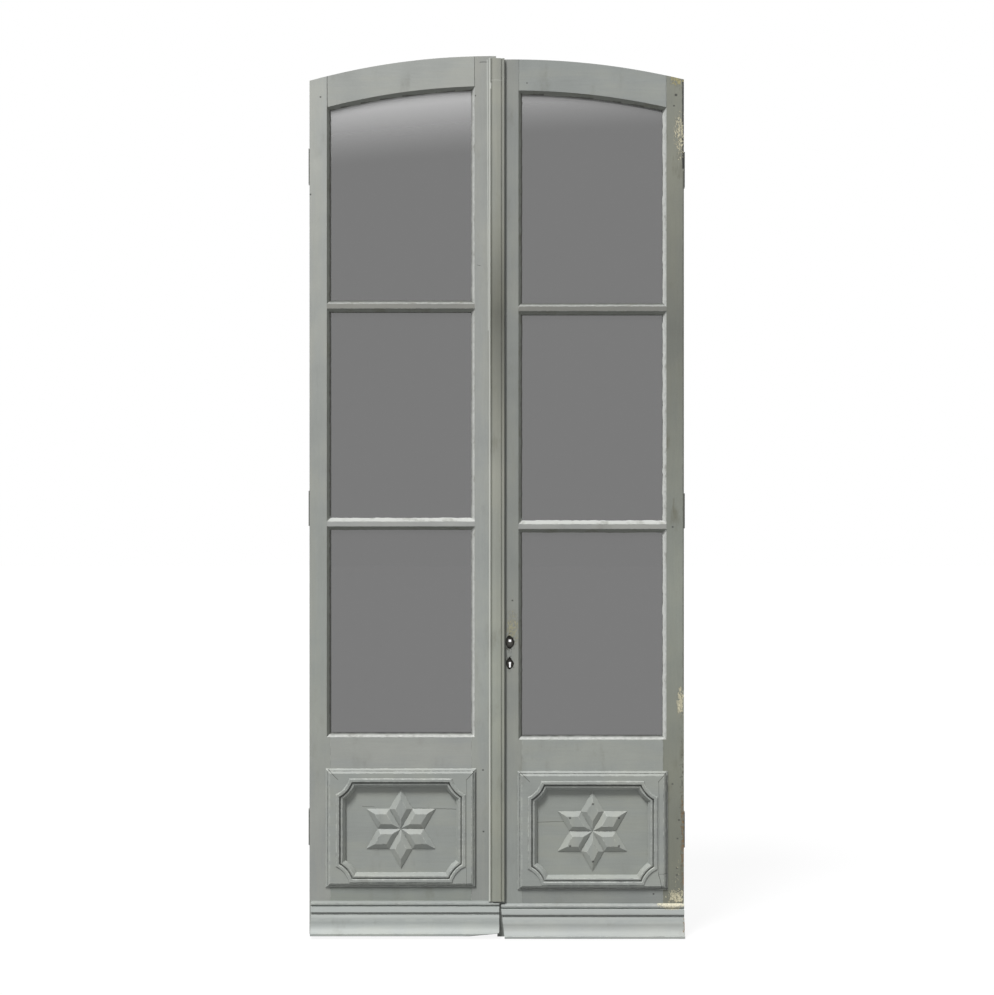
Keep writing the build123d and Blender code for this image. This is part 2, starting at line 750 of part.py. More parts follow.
def bead_line(leaf, inset, mode=Mode.ADD):
    """The beads' running line with hollow corners, drawn in by an inset."""
    centre_x, centre_z, radius = corner_arc()
    x, z = moulding_centre(leaf)
    width = MOULDING_WIDTH - 2 * (SIDE_BOARD + inset)
    height = MOULDING_HEIGHT - 2 * (RAIL_BOARD + inset)
    with BuildSketch(facing(0), mode=Mode.PRIVATE) as line:
        with Locations((x, z - BEADS_DROP)):
            Rectangle(width, height)
            with GridLocations(2 * centre_x, 2 * centre_z, 2, 2):
                Circle(radius + inset, mode=Mode.SUBTRACT)
    add(line.sketch_local, mode=mode)


def bead_ring(leaf, outer, inner, height):
    """One raised band between two insets of the running line."""
    with BuildSketch(facing(FRONT - QUIRK_FLOOR)) as ring:
        bead_line(leaf, outer)
        bead_line(leaf, inner, Mode.SUBTRACT)
    extrude(ring.sketch, amount=height - QUIRK_FLOOR)


def crest(height):
    """Face of a moulding's band at a height over the stile's face."""
    return faces().filter_by(Axis.Y).filter_by_position(Axis.Y, FRONT - height, FRONT - height)[0]


def cut_moulding_groove(leaf):
    """Narrow groove along the moulding's outer chamfer."""
    outer, inner = 2 * MOULDING_GROOVE, 2 * (MOULDING_GROOVE + MOULDING_GROOVE_WIDTH)
    with BuildSketch(facing(FRONT - MOULDING_GROOVE_FLOOR)) as groove:
        with Locations(moulding_centre(leaf)):
            Rectangle(MOULDING_WIDTH - outer, MOULDING_HEIGHT - outer)
            Rectangle(MOULDING_WIDTH - inner, MOULDING_HEIGHT - inner, mode=Mode.SUBTRACT)
    extrude(groove.sketch, amount=MOULDING_THICKNESS, mode=Mode.SUBTRACT)


def panel_moulding(leaf):
    """Applied moulding: a chamfered board, then a bead and a slope that turn hollow corners."""
    with BuildPart() as frame:
        with BuildSketch(facing(FRONT)):
            with Locations(moulding_centre(leaf)):
                Rectangle(MOULDING_WIDTH, MOULDING_HEIGHT)
        extrude(amount=MOULDING_THICKNESS - MOULDING_CHAMFER_FALL)
        with BuildSketch(facing(FRONT - MOULDING_THICKNESS + MOULDING_CHAMFER_FALL)):
            with Locations(moulding_centre(leaf)):
                Rectangle(MOULDING_WIDTH, MOULDING_HEIGHT)
        extrude(
            amount=MOULDING_CHAMFER_FALL,
            taper=degrees(atan(MOULDING_CHAMFER / MOULDING_CHAMFER_FALL)),
        )
        cut_moulding_groove(leaf)
        with BuildSketch(facing(FRONT - QUIRK_FLOOR)):
            bead_line(leaf, 0)
        extrude(amount=MOULDING_THICKNESS, mode=Mode.SUBTRACT)
        board(
            leaf,
            MEETING_SHOULDER + JOINT_PLAY,
            HINGE_SHOULDER - JOINT_PLAY,
            leaf.lift + BOTTOM_RAIL_TOP + JOINT_PLAY,
            leaf.lift + MID_RAIL_BOTTOM - JOINT_PLAY,
            FRONT,
            PANEL_FACE,
        )
        bead_ring(leaf, BEAD_WIDTH + QUIRK, BEAD_BAND, INNER_HEIGHT)
        with BuildSketch(facing(FRONT - MOULDING_THICKNESS)):
            bead_line(leaf, BEAD_BAND)
        extrude(amount=-(MOULDING_THICKNESS + PANEL_SETBACK), mode=Mode.SUBTRACT)
        flat = crest(INNER_HEIGHT)
        chamfer(flat.inner_wires()[0].edges(), INNER_SLOPE, INNER_SLOPE_FALL, reference=flat)
        bead_ring(leaf, 0, BEAD_WIDTH, BEAD_HEIGHT)
        chamfer(crest(BEAD_HEIGHT).outer_wire().edges(), BEAD_OUTER_CHAMFER)
        chamfer(crest(BEAD_HEIGHT).inner_wires()[0].edges(), BEAD_INNER_CHAMFER)
    keep(frame, f"{leaf.name}_panel_moulding")


def lozenge(half, length, start):
    """Outline of one lozenge that points away from the star's centre, given its near tip."""
    with BuildLine() as rim:
        Polyline(
            (0, start),
            (half, start + length / 2),
            (0, start + length),
            (-half, start + length / 2),
            close=True,
        )
    make_face(rim.edges())


def star(leaf):
    """Six bevelled lozenges that meet at the centre of the panel."""
    x, z = moulding_centre(leaf)
    reach = STAR_RADIUS - 2 * LOZENGE_JOINT
    half = reach / 2 * tan(radians(30))
    with BuildPart() as lozenges:
        for turn in range(6):
            flat = facing(PANEL_FACE).location * Location((x, z - STAR_DROP, 0), (0, 0, 60 * turn))
            with BuildSketch(Plane(flat)) as base:
                lozenge(half, reach, LOZENGE_JOINT)
            extrude(base.sketch, amount=LOZENGE_EDGE + LOZENGE_BEVEL_RISE)
            top = faces(Select.LAST).sort_by(Axis.Y)[0]
            chamfer(top.edges(), LOZENGE_BEVEL, LOZENGE_BEVEL_RISE, reference=top)
    keep(lozenges, f"{leaf.name}_star")


def weather_profile(z):
    """Section of a weatherboard: a lip, a cove, a flat band, then a swell and a hollow to the nose."""
    back = FRONT - LAP_CLEARANCE
    neck = (FRONT - WEATHER_NECK, z + WEATHER_NECK_FOOT)
    turn = (FRONT - WEATHER_SWELL, neck[1] - WEATHER_SWELL_DROP)
    nose = (FRONT - WEATHER_REACH, z + WEATHER_NOSE)
    with BuildLine() as section:
        Polyline(
            (back, z + WEATHER_HEIGHT),
            (FRONT - WEATHER_LIP, z + WEATHER_HEIGHT - WEATHER_LIP_HEIGHT),
            (FRONT - WEATHER_LIP, z + WEATHER_HEIGHT - 2 * WEATHER_LIP_HEIGHT),
            (FRONT - WEATHER_COVE_WIDTH, z + WEATHER_BAND_TOP),
            (FRONT - WEATHER_BAND, z + WEATHER_BAND_TOP),
            (FRONT - WEATHER_BAND, z + WEATHER_BAND_FOOT),
            (FRONT - WEATHER_NECK, z + WEATHER_BAND_FOOT),
            neck,
        )
        ThreePointArc(neck, bowed(neck, turn, WEATHER_SWELL_BULGE), turn)
        ThreePointArc(turn, bowed(turn, nose, -WEATHER_HOLLOW_SAG), nose)
        Polyline(
            nose,
            (nose[0], z + WEATHER_NOSE_CHAMFER),
            (nose[0] + WEATHER_UNDERCUT, z),
            (back, z),
            (back, z + WEATHER_HEIGHT),
        )
    return section


def bowed(start, end, bulge):
    """Middle point of an arc from start to end, pushed out of the chord towards the outside."""
    run_y, run_z = end[0] - start[0], end[1] - start[1]
    length = hypot(run_y, run_z)
    middle_y, middle_z = (start[0] + end[0]) / 2, (start[1] + end[1]) / 2
    return middle_y + bulge * run_z / length, middle_z - bulge * run_y / length


def weatherboard(leaf):
    """Drip board with a small moulded top and a foot that flares out."""
    z = leaf.lift
    inner = -LEFT_WEATHER_LAP if leaf is LEFT else RIGHT_WEATHER_INSET
    outer = LEAF_REACH - LEFT_WEATHER_SHORT if leaf is LEFT else LEAF_REACH
    start, end = sorted((leaf.side * inner, leaf.side * outer))
    with BuildPart() as drip:
        with BuildSketch(across(start)) as section:
            make_face(weather_profile(z).edges())
        extrude(section.sketch, amount=end - start)
        board(
            leaf,
            max(inner, MEETING_EDGE),
            outer,
            z,
            z + WEATHER_HEIGHT,
            FRONT - LAP_CLEARANCE,
            FRONT,
        )
        if leaf is RIGHT:
            with BuildSketch(facing(FRONT - WEATHER_REACH)):
                with BuildLine():
                    Polyline(
                        (inner, z + WEATHER_BAND_TOP),
                        (inner, z),
                        (inner + RIGHT_WEATHER_SPLAY, z),
                        close=True,
                    )
                make_face()
            extrude(amount=-WEATHER_REACH, mode=Mode.SUBTRACT)
    keep(drip, f"{leaf.name}_weatherboard")


def astragal():
    """Moulded cover strip fixed to the left leaf and lapping the right one."""
    half = ASTRAGAL_WIDTH / 2
    foot = LEFT.lift + WEATHER_HEIGHT
    back, front = FRONT - LAP_CLEARANCE, FRONT - ASTRAGAL_THICKNESS
    inner = half - ASTRAGAL_BEAD
    face = inner - ASTRAGAL_QUIRK
    floor = front + ASTRAGAL_QUIRK_DEPTH
    bead_front = front + ASTRAGAL_CROWN
    top = LEFT.crown_height - ASTRAGAL_BELOW_CROWN
    with BuildPart() as strip:
        with BuildSketch(level(foot)):
            with BuildLine():
                Line((-half, back), (-half, bead_front + ASTRAGAL_BEAD / 2))
                left_bead = ThreePointArc(
                    (-half, bead_front + ASTRAGAL_BEAD / 2),
                    (-half + ASTRAGAL_BEAD / 2, bead_front),
                    (-inner, bead_front + ASTRAGAL_BEAD / 2),
                )
                Polyline(left_bead @ 1, (-inner, floor), (-face, floor), (-face, bead_front))
                ThreePointArc((-face, bead_front), (0, front), (face, bead_front))
                Polyline(
                    (face, bead_front),
                    (face, floor),
                    (inner, floor),
                    (inner, bead_front + ASTRAGAL_BEAD / 2),
                )
                right_bead = ThreePointArc(
                    (inner, bead_front + ASTRAGAL_BEAD / 2),
                    (half - ASTRAGAL_BEAD / 2, bead_front),
                    (half, bead_front + ASTRAGAL_BEAD / 2),
                )
                Polyline(right_bead @ 1, (half, back), (-half, back))
            make_face()
        extrude(amount=top - foot)
        board(LEFT, MEETING_EDGE, half, foot, top, back, FRONT)
    keep(strip, "astragal")


def hinge_half(leaf, middle, name, on_leaf):
    """Flag-shaped plate with its half of the knuckle; the leaf's half sits above the jamb's."""
    inner_face = LEAF_REACH - PLATE_THICKNESS if on_leaf else LEAF_REACH + JAMB_GAP
    start = min(leaf.side * inner_face, leaf.side * (inner_face + PLATE_THICKNESS))
    half = PLATE_HEIGHT / 2
    if on_leaf:
        low, high = middle + KNUCKLE_GAP / 2, middle + half
    else:
        low, high = middle - half, middle - KNUCKLE_GAP / 2
    with BuildPart() as flag:
        with BuildSketch(across(start)):
            with Locations((plate_y(), middle)):
                Rectangle(PLATE_INTO_EDGE, PLATE_HEIGHT)
            with Locations((BACK + KNUCKLE_STANDOFF / 2, (low + high) / 2)):
                Rectangle(KNUCKLE_STANDOFF, high - low)
        extrude(amount=PLATE_THICKNESS)
        with BuildSketch(level(low)):
            with Locations((leaf.side * PIN_X, PIN_Y)):
                Circle(KNUCKLE_RADIUS)
        extrude(amount=high - low)
        bore = PIN_RADIUS + (PIN_PLAY if on_leaf else 0)
        bore_low = middle if on_leaf else middle - PIN_REACH
        bore_high = middle + PIN_REACH + PIN_PLAY if on_leaf else middle
        with BuildSketch(level(bore_low)):
            with Locations((leaf.side * PIN_X, PIN_Y)):
                Circle(bore)
        extrude(amount=bore_high - bore_low, mode=Mode.SUBTRACT)
        # Screw heads face the jamb on the leaf's plate and the leaf on the jamb's plate
        head_side = leaf.side if on_leaf else -leaf.side
        head_x = inner_face + PLATE_THICKNESS if on_leaf else inner_face
        for rise in screw_heights():
            screw_hole(head_side, leaf.side * head_x, plate_y(), middle + rise, PLATE_THICKNESS)
    keep(flag, name)


def screw_hole(direction, x, y, z, thickness):
    """Countersunk hole through a plate; the head side looks along X in the given direction."""
    with BuildSketch(across(x)) as mouth:
        with Locations((y, z)):
            Circle(SCREW_HEAD_RADIUS)
    with BuildSketch(across(x)) as hole:
        with Locations((y, z)):
            Circle(SCREW_HOLE_RADIUS)
    with BuildSketch(across(x - direction * COUNTERSINK)) as throat:
        with Locations((y, z)):
            Circle(SCREW_HOLE_RADIUS)
    extrude(hole.sketch, amount=-direction * thickness, mode=Mode.SUBTRACT)
    loft([mouth.sketch, throat.sketch], mode=Mode.SUBTRACT)


def screw(direction, x, y, z):
    """Countersunk wood screw whose flat head looks along X in the given direction."""
    axis_plane = Plane((x, y, z), x_dir=(0, 1, 0), z_dir=(0, 0, 1) if direction > 0 else (0, 0, -1))
    depth = COUNTERSINK * (SCREW_HEAD_RADIUS - SCREW_RADIUS) / (SCREW_HEAD_RADIUS - SCREW_HOLE_RADIUS)
    with BuildSketch(axis_plane) as profile:
        with BuildLine():
            Polyline(
                (0, 0),
                (SCREW_HEAD_RADIUS, 0),
                (SCREW_RADIUS, depth),
                (SCREW_RADIUS, SCREW_LENGTH),
                (0, SCREW_LENGTH),
                close=True,
            )
        make_face()
    revolve(profile.sketch, axis=Axis((x, y, z), (1, 0, 0)))


def hinge_screws(leaf):
    """Screws that hold the leaf's hinge plates."""
    with BuildPart() as screws:
        for height in leaf.hinge_heights:
            for rise in screw_heights():
                screw(leaf.side, leaf.side * LEAF_REACH, plate_y(), height + rise)
    keep(screws, f"{leaf.name}_hinge_screws")


def hinge_pins(leaf):
    """Pins fixed in the jamb's halves."""
    with BuildPart() as pins:
        for height in leaf.hinge_heights:
            with BuildSketch(level(height - PIN_REACH)):
                with Locations((leaf.side * PIN_X, PIN_Y)):
                    Circle(PIN_RADIUS)
            extrude(amount=2 * PIN_REACH)
    keep(pins, f"{leaf.name}_hinge_pins")


def edge_screws(leaf, ends, name):
    """Screws of a plate on a meeting edge."""
    with BuildPart() as screws:
        for height in edge_screw_heights(ends):
            screw(-leaf.side, leaf.side * MEETING_EDGE, 0, height)
    keep(screws, name)


def edge_plate(leaf, ends, thickness, openings, play, name):
    """Round-ended plate on a meeting edge, with openings for the bolts and two screw holes."""
    z, height = span(*ends)
    outside = leaf.side * MEETING_EDGE
    with BuildPart() as plate:
        with BuildSketch(across(outside)):
            with Locations((0, z)):
                Rectangle(FACE_WIDTH, height)
            for low, high in openings:
                middle, tall = span(low, high)
                with Locations((0, middle)):
                    Rectangle(BOLT_THICKNESS + 2 * play, tall + 2 * play, mode=Mode.SUBTRACT)
        extrude(amount=leaf.side * thickness)
        for rise in edge_screw_heights(ends):
            screw_hole(-leaf.side, outside, 0, rise, thickness)
    keep(plate, name)


def lock_case():
    """Case of the mortise lock, open at the faceplate, bored for the hub and pierced for the key."""
    foot, top = case_heights()
    start = MEETING_EDGE + FACE_THICKNESS
    half = CASE_THICKNESS / 2
    with BuildPart() as case:
        board(RIGHT, start, start + CASE_DEPTH, foot, top, -half, half)
        board(
            RIGHT,
            start,
            start + CASE_DEPTH - CASE_WALL,
            foot + CASE_WALL,
            top - CASE_WALL,
            -half + CASE_WALL,
            half - CASE_WALL,
            mode=Mode.SUBTRACT,
        )
        with BuildSketch(facing(-half)):
            with Locations((MEETING_EDGE + BACKSET, SPINDLE_HEIGHT)):
                Circle(HUB_RADIUS + HUB_PLAY)
            keyhole()
        extrude(amount=-CASE_THICKNESS, mode=Mode.SUBTRACT)
    keep(case, "lock_case")


def follower():
    """Hub that the handle's spindle turns, with the arm that draws the latch."""
    x, z = MEETING_EDGE + BACKSET, SPINDLE_HEIGHT
    lean = radians(HUB_TURN / 2)
    tip = (x + ARM_RADIUS * sin(lean), z + ARM_RADIUS * cos(lean))
    with BuildPart() as hub:
        with BuildSketch(facing(-CASE_THICKNESS / 2)):
            with Locations((x, z)):
                Circle(HUB_RADIUS)
        extrude(amount=-CASE_THICKNESS)
        with BuildSketch(facing(-ARM_WIDTH / 2)):
            with Locations(((x + tip[0]) / 2, (z + tip[1]) / 2)):
                SlotCenterToCenter(ARM_RADIUS, ARM_WIDTH, rotation=90 - degrees(lean))
        extrude(amount=-ARM_WIDTH)
        with BuildSketch(facing(-CASE_THICKNESS / 2)):
            with Locations((x, z)):
                Rectangle(SPINDLE_SQUARE, SPINDLE_SQUARE)
        extrude(amount=-CASE_THICKNESS, mode=Mode.SUBTRACT)
    keep(hub, "follower")


def latch_bolt():
    """Latch drawn back: a bevelled head and a stem notched for the follower's arm."""
    low, high = bolt_heights()[1]
    start = MEETING_EDGE + BOLT_SETBACK
    half = BOLT_THICKNESS / 2
    middle = (low + high) / 2
    arm_x = MEETING_EDGE + BACKSET + ARM_RADIUS * sin(radians(HUB_TURN / 2))
    stem_foot = middle - STEM_HEIGHT / 2
    with BuildPart() as latch:
        with BuildSketch(level(low)):
            with BuildLine():
                Polyline(
                    (start, half),
                    (start + LATCH_HEAD_LENGTH, half),
                    (start + LATCH_HEAD_LENGTH, -half),
                    (start + BOLT_THICKNESS, -half),
                    (start, half - CASE_WALL),
                    close=True,
                )
            make_face()
        extrude(amount=LATCH_HEIGHT)
        stem_start = start + LATCH_HEAD_LENGTH
        board(
            RIGHT,
            stem_start,
            stem_start + STEM_LENGTH,
            stem_foot,
            stem_foot + STEM_HEIGHT,
            -STEM_THICKNESS / 2,
            STEM_THICKNESS / 2,
        )
        notch = ARM_WIDTH / 2 + NOTCH_PLAY
        board(
            RIGHT,
            arm_x - notch,
            arm_x + notch,
            stem_foot,
            stem_foot + STEM_NOTCH_HEIGHT,
            -half,
            half,
            mode=Mode.SUBTRACT,
        )
    keep(latch, "latch_bolt")


def dead_bolt():
    """Bolt that the key throws, drawn back."""
    low, high = bolt_heights()[0]
    start = MEETING_EDGE + BOLT_SETBACK
    half = BOLT_THICKNESS / 2
    with BuildPart() as bolt:
        board(RIGHT, start, start + DEAD_BOLT_LENGTH, low, high, -half, half)
    keep(bolt, "dead_bolt")


def shoot_bolt(name, end, direction):
    """Flat bar in staples on a plate; it shoots out of the leaf in the given direction."""
    x = -(MEETING_EDGE + SHOOT_FROM_EDGE)
    plate_near = end - direction * SHOOT_PLATE_INSET
    plate_far = plate_near - direction * SHOOT_PLATE_LENGTH
    plate_z, plate_height = span(*sorted((plate_near, plate_far)))
    plate_back = BACK + SHOOT_PLATE_THICKNESS
    bar_y = plate_back + SHOOT_PLAY
    bar_outer = bar_y + SHOOT_BAR_THICKNESS
    bridge = SHOOT_BAR_WIDTH + 2 * (SHOOT_PLAY + STAPLE_WALL)
    with BuildPart() as guide:
        with BuildSketch(facing(BACK)):
            with Locations((x, plate_z)):
                Rectangle(SHOOT_PLATE_WIDTH, plate_height)
        extrude(amount=-SHOOT_PLATE_THICKNESS)
        reach = SHOOT_PLATE_LENGTH / 2 - STAPLE_INSET
        with BuildSketch(facing(plate_back)):
            with Locations((x, plate_z + reach), (x, plate_z - reach)):
                Rectangle(bridge, STAPLE_LENGTH)
        extrude(amount=-(SHOOT_BAR_THICKNESS + 2 * SHOOT_PLAY + STAPLE_WALL))
        with BuildSketch(level(plate_z - plate_height)):
            with Locations((x, (bar_y + bar_outer) / 2)):
                Rectangle(
                    SHOOT_BAR_WIDTH + 2 * SHOOT_PLAY, SHOOT_BAR_THICKNESS + 2 * SHOOT_PLAY
                )
        extrude(amount=2 * plate_height, mode=Mode.SUBTRACT)
    keep(guide, f"{name}_bolt_guide")

    bar_near = end - direction * SHOOT_END_INSET
    bar_far = plate_far - direction * STAPLE_INSET
    bar_z, bar_length = span(*sorted((bar_near, bar_far)))
    with BuildPart() as bar:
        with BuildSketch(facing(bar_y)):
            with Locations((x, bar_z)):
                Rectangle(SHOOT_BAR_WIDTH, bar_length)
        extrude(amount=-SHOOT_BAR_THICKNESS)
        with BuildSketch(Plane((x, bar_outer, plate_z), x_dir=(1, 0, 0), z_dir=(0, 0, 1))):
            with BuildLine():
                Polyline(
                    (0, 0),
                    (KNOB_NECK_RADIUS, 0),
                    (KNOB_NECK_RADIUS, KNOB_NECK_HEIGHT),
                    (KNOB_RADIUS, KNOB_RIM_HEIGHT),
                    (KNOB_TOP_RADIUS, KNOB_HEIGHT),
                    (0, KNOB_HEIGHT),
                    close=True,
                )
            make_face()
        revolve(axis=Axis((x, bar_outer, plate_z), (0, 1, 0)))
    keep(bar, f"{name}_bolt")


for leaf in (LEFT, RIGHT):
    hinge_stile(leaf)
    top_rail(leaf)
    mid_rail(leaf)
    bottom_rail(leaf)
    glazing_bar(leaf, LOWER_BAR_HEIGHT, "lower")
    glazing_bar(leaf, UPPER_BAR_HEIGHT, "upper")
    glass(leaf)
    putty(leaf)
    panel(leaf)
    panel_moulding(leaf)
    star(leaf)
    weatherboard(leaf)
    for place, height in zip(HINGE_NAMES, leaf.hinge_heights):
        hinge_half(leaf, height, f"{leaf.name}_{place}_leaf_hinge", True)
        hinge_half(leaf, height, f"{leaf.name}_{place}_jamb_hinge", False)
    hinge_screws(leaf)
    hinge_pins(leaf)

left_meeting_stile()
astragal()
edge_plate(LEFT, strike_heights(), STRIKE_THICKNESS, bolt_heights(), KEEP_PLAY, "strike_plate")
edge_screws(LEFT, strike_heights(), "strike_screws")
shoot_bolt("top", LEFT.crown_height, 1)
shoot_bolt("bottom", LEFT.lift, -1)

right_meeting_stile()
lock_case()
edge_plate(RIGHT, face_heights(), FACE_THICKNESS, bolt_heights(), BOLT_PLAY, "lock_faceplate")
edge_screws(RIGHT, face_heights(), "lock_screws")
follower()
latch_bolt()
dead_bolt()
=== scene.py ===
"""Looks of a pair of tall painted door leaves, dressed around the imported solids.

The timber and the putty are copied from the solids and get worn arrises and a ragged edge.
Paint, putty, glass and iron are procedural finishes that read the object's own coordinates, in
metres: X to the right as seen from outside, Y inwards, Z up from the foot of the right leaf.
"""

import json
import logging
import math
import sys
from dataclasses import dataclass
from enum import Enum
from typing import Any, Iterable, Union

import bmesh
import bpy
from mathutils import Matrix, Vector, noise

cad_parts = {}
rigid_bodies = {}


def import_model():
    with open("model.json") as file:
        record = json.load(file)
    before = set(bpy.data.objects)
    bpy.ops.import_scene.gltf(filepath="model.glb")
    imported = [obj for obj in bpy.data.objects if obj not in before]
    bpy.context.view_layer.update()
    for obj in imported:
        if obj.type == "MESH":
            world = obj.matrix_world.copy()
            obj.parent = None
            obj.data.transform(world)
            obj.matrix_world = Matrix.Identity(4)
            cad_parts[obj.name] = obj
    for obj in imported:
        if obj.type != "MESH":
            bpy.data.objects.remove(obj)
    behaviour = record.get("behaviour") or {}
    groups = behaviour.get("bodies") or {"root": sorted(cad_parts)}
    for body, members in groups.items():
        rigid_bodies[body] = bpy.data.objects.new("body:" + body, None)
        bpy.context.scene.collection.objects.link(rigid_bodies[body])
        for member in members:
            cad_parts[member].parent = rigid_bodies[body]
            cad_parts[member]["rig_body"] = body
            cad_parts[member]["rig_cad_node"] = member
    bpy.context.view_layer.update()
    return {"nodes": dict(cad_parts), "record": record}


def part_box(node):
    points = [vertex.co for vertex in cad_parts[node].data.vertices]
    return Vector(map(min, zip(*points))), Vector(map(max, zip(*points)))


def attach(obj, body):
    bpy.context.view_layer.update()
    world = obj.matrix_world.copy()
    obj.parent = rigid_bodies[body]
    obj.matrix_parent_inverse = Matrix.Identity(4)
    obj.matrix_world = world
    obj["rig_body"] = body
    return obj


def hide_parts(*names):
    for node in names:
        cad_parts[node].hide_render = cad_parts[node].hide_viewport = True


LOG = logging.getLogger("door")

# The photograph's frame
PHOTO_WIDTH = 994
PHOTO_HEIGHT = 995
METRES_PER_PIXEL = 0.003125
MEETING_LINE_PIXEL = 496.7
FOOT_PIXEL = 936.5
FACE_Y = -0.018

# Attributes of the copied meshes
ARRIS = "arris"
# How pale a putty slope is painted by the way it faces: pale paint with painted light
PALE_LIT_SIDE = "fresh"
RIM = "rim"

# Copying of the solids: metres between points that are one, degrees between faces that are one,
# and metres within which two places count as level
JOIN_DISTANCE = 1e-5
FLAT_ANGLE = 0.5
LEVEL = 1e-4

# Y at which marks and flaking begin to show, and at which they show fully
MARK_DEPTHS = (0.0, -0.003)
FLAKE_DEPTHS = (-0.002, -0.014)

MILLIMETRE = 0.001

Number = Union[int, float]
Triple = tuple[float, float, float]
Colour = Triple
Pixel = tuple[float, float]


def linear(red: Number, green: Number, blue: Number) -> Colour:
    """Turns a colour of 0 to 255, as a screen shows it, into the linear values of a shader.

    Args:
        red: Red as shown.
        green: Green as shown.
        blue: Blue as shown.

    Returns:
        The same colour in linear light.
    """

    def channel(value: Number) -> float:
        """One channel in linear light."""
        share = value / 255
        return share / 12.92 if share <= 0.04045 else ((share + 0.055) / 1.055) ** 2.4

    return channel(red), channel(green), channel(blue)


def grey(value: Number) -> Colour:
    """A neutral grey as a screen shows it."""
    return linear(value, value, value)


def across(pixel: float) -> float:
    """X on the leaves' outer face for a distance from the photograph's left edge."""
    return (pixel - MEETING_LINE_PIXEL) * METRES_PER_PIXEL


def up(pixel: float) -> float:
    """Z on the leaves' outer face for a distance from the photograph's top edge."""
    return (FOOT_PIXEL - pixel) * METRES_PER_PIXEL


class Grain(Enum):
    """The way a board's grain and brush marks run, as the stretch of its pattern."""

    UPRIGHT = (1.0, 1.0, 0.06)
    LEVEL = (0.06, 1.0, 1.0)


class Value:
    """A shader socket that takes part in sums."""

    def __init__(self, graph: "Graph", socket: Any) -> None:
        """Wraps a socket of a graph.

        Args:
            graph: The graph that the socket belongs to.
            socket: An output socket.
        """
        self.graph = graph
        self.socket = socket

    def _math(self, operation: str, *terms: Any, clamp: bool = False) -> "Value":
        """Adds a Math node.

        Args:
            operation: The node's operation.
            terms: Its inputs in order, numbers or values.
            clamp: Whether the result is held between 0 and 1.

        Returns:
            The node's result.
        """
        settings = {"operation": operation, "use_clamp": clamp}
        return self.graph.node("ShaderNodeMath", settings, dict(enumerate(terms)))

    def __add__(self, other: Any) -> "Value":
        """Sum."""
        return self._math("ADD", self, other)

    __radd__ = __add__

    def __sub__(self, other: Any) -> "Value":
        """Difference."""
        return self._math("SUBTRACT", self, other)

    def __rsub__(self, other: Any) -> "Value":
        """Difference from a number."""
        return self._math("SUBTRACT", other, self)

    def __mul__(self, other: Any) -> "Value":
        """Product."""
        return self._math("MULTIPLY", self, other)

    __rmul__ = __mul__

    def __truediv__(self, other: Any) -> "Value":
        """Quotient."""
        return self._math("DIVIDE", self, other)

    def __abs__(self) -> "Value":
        """Size without sign."""
        return self._math("ABSOLUTE", self)

    def most(self, other: Any) -> "Value":
        """The larger of two."""
        return self._math("MAXIMUM", self, other)

    def root(self) -> "Value":
        """Square root."""
        return self._math("SQRT", self)

    def held(self) -> "Value":
        """The value held between 0 and 1."""
        return self._math("ADD", self, 0.0, clamp=True)

    def step(self, low: float, high: float) -> "Value":
        """Smooth rise from 0 at low to 1 at high, or the fall if high is the lower."""
        settings = {"interpolation_type": "SMOOTHSTEP", "clamp": True}
        return self.graph.node("ShaderNodeMapRange", settings, {0: self, 1: low, 2: high})

    def near(self, centre: float, half: float, soft: float) -> "Value":
        """1 within half of a centre, falling to 0 over a soft edge."""
        return abs(self - centre).step(half + soft, max(half - soft, 0.0))


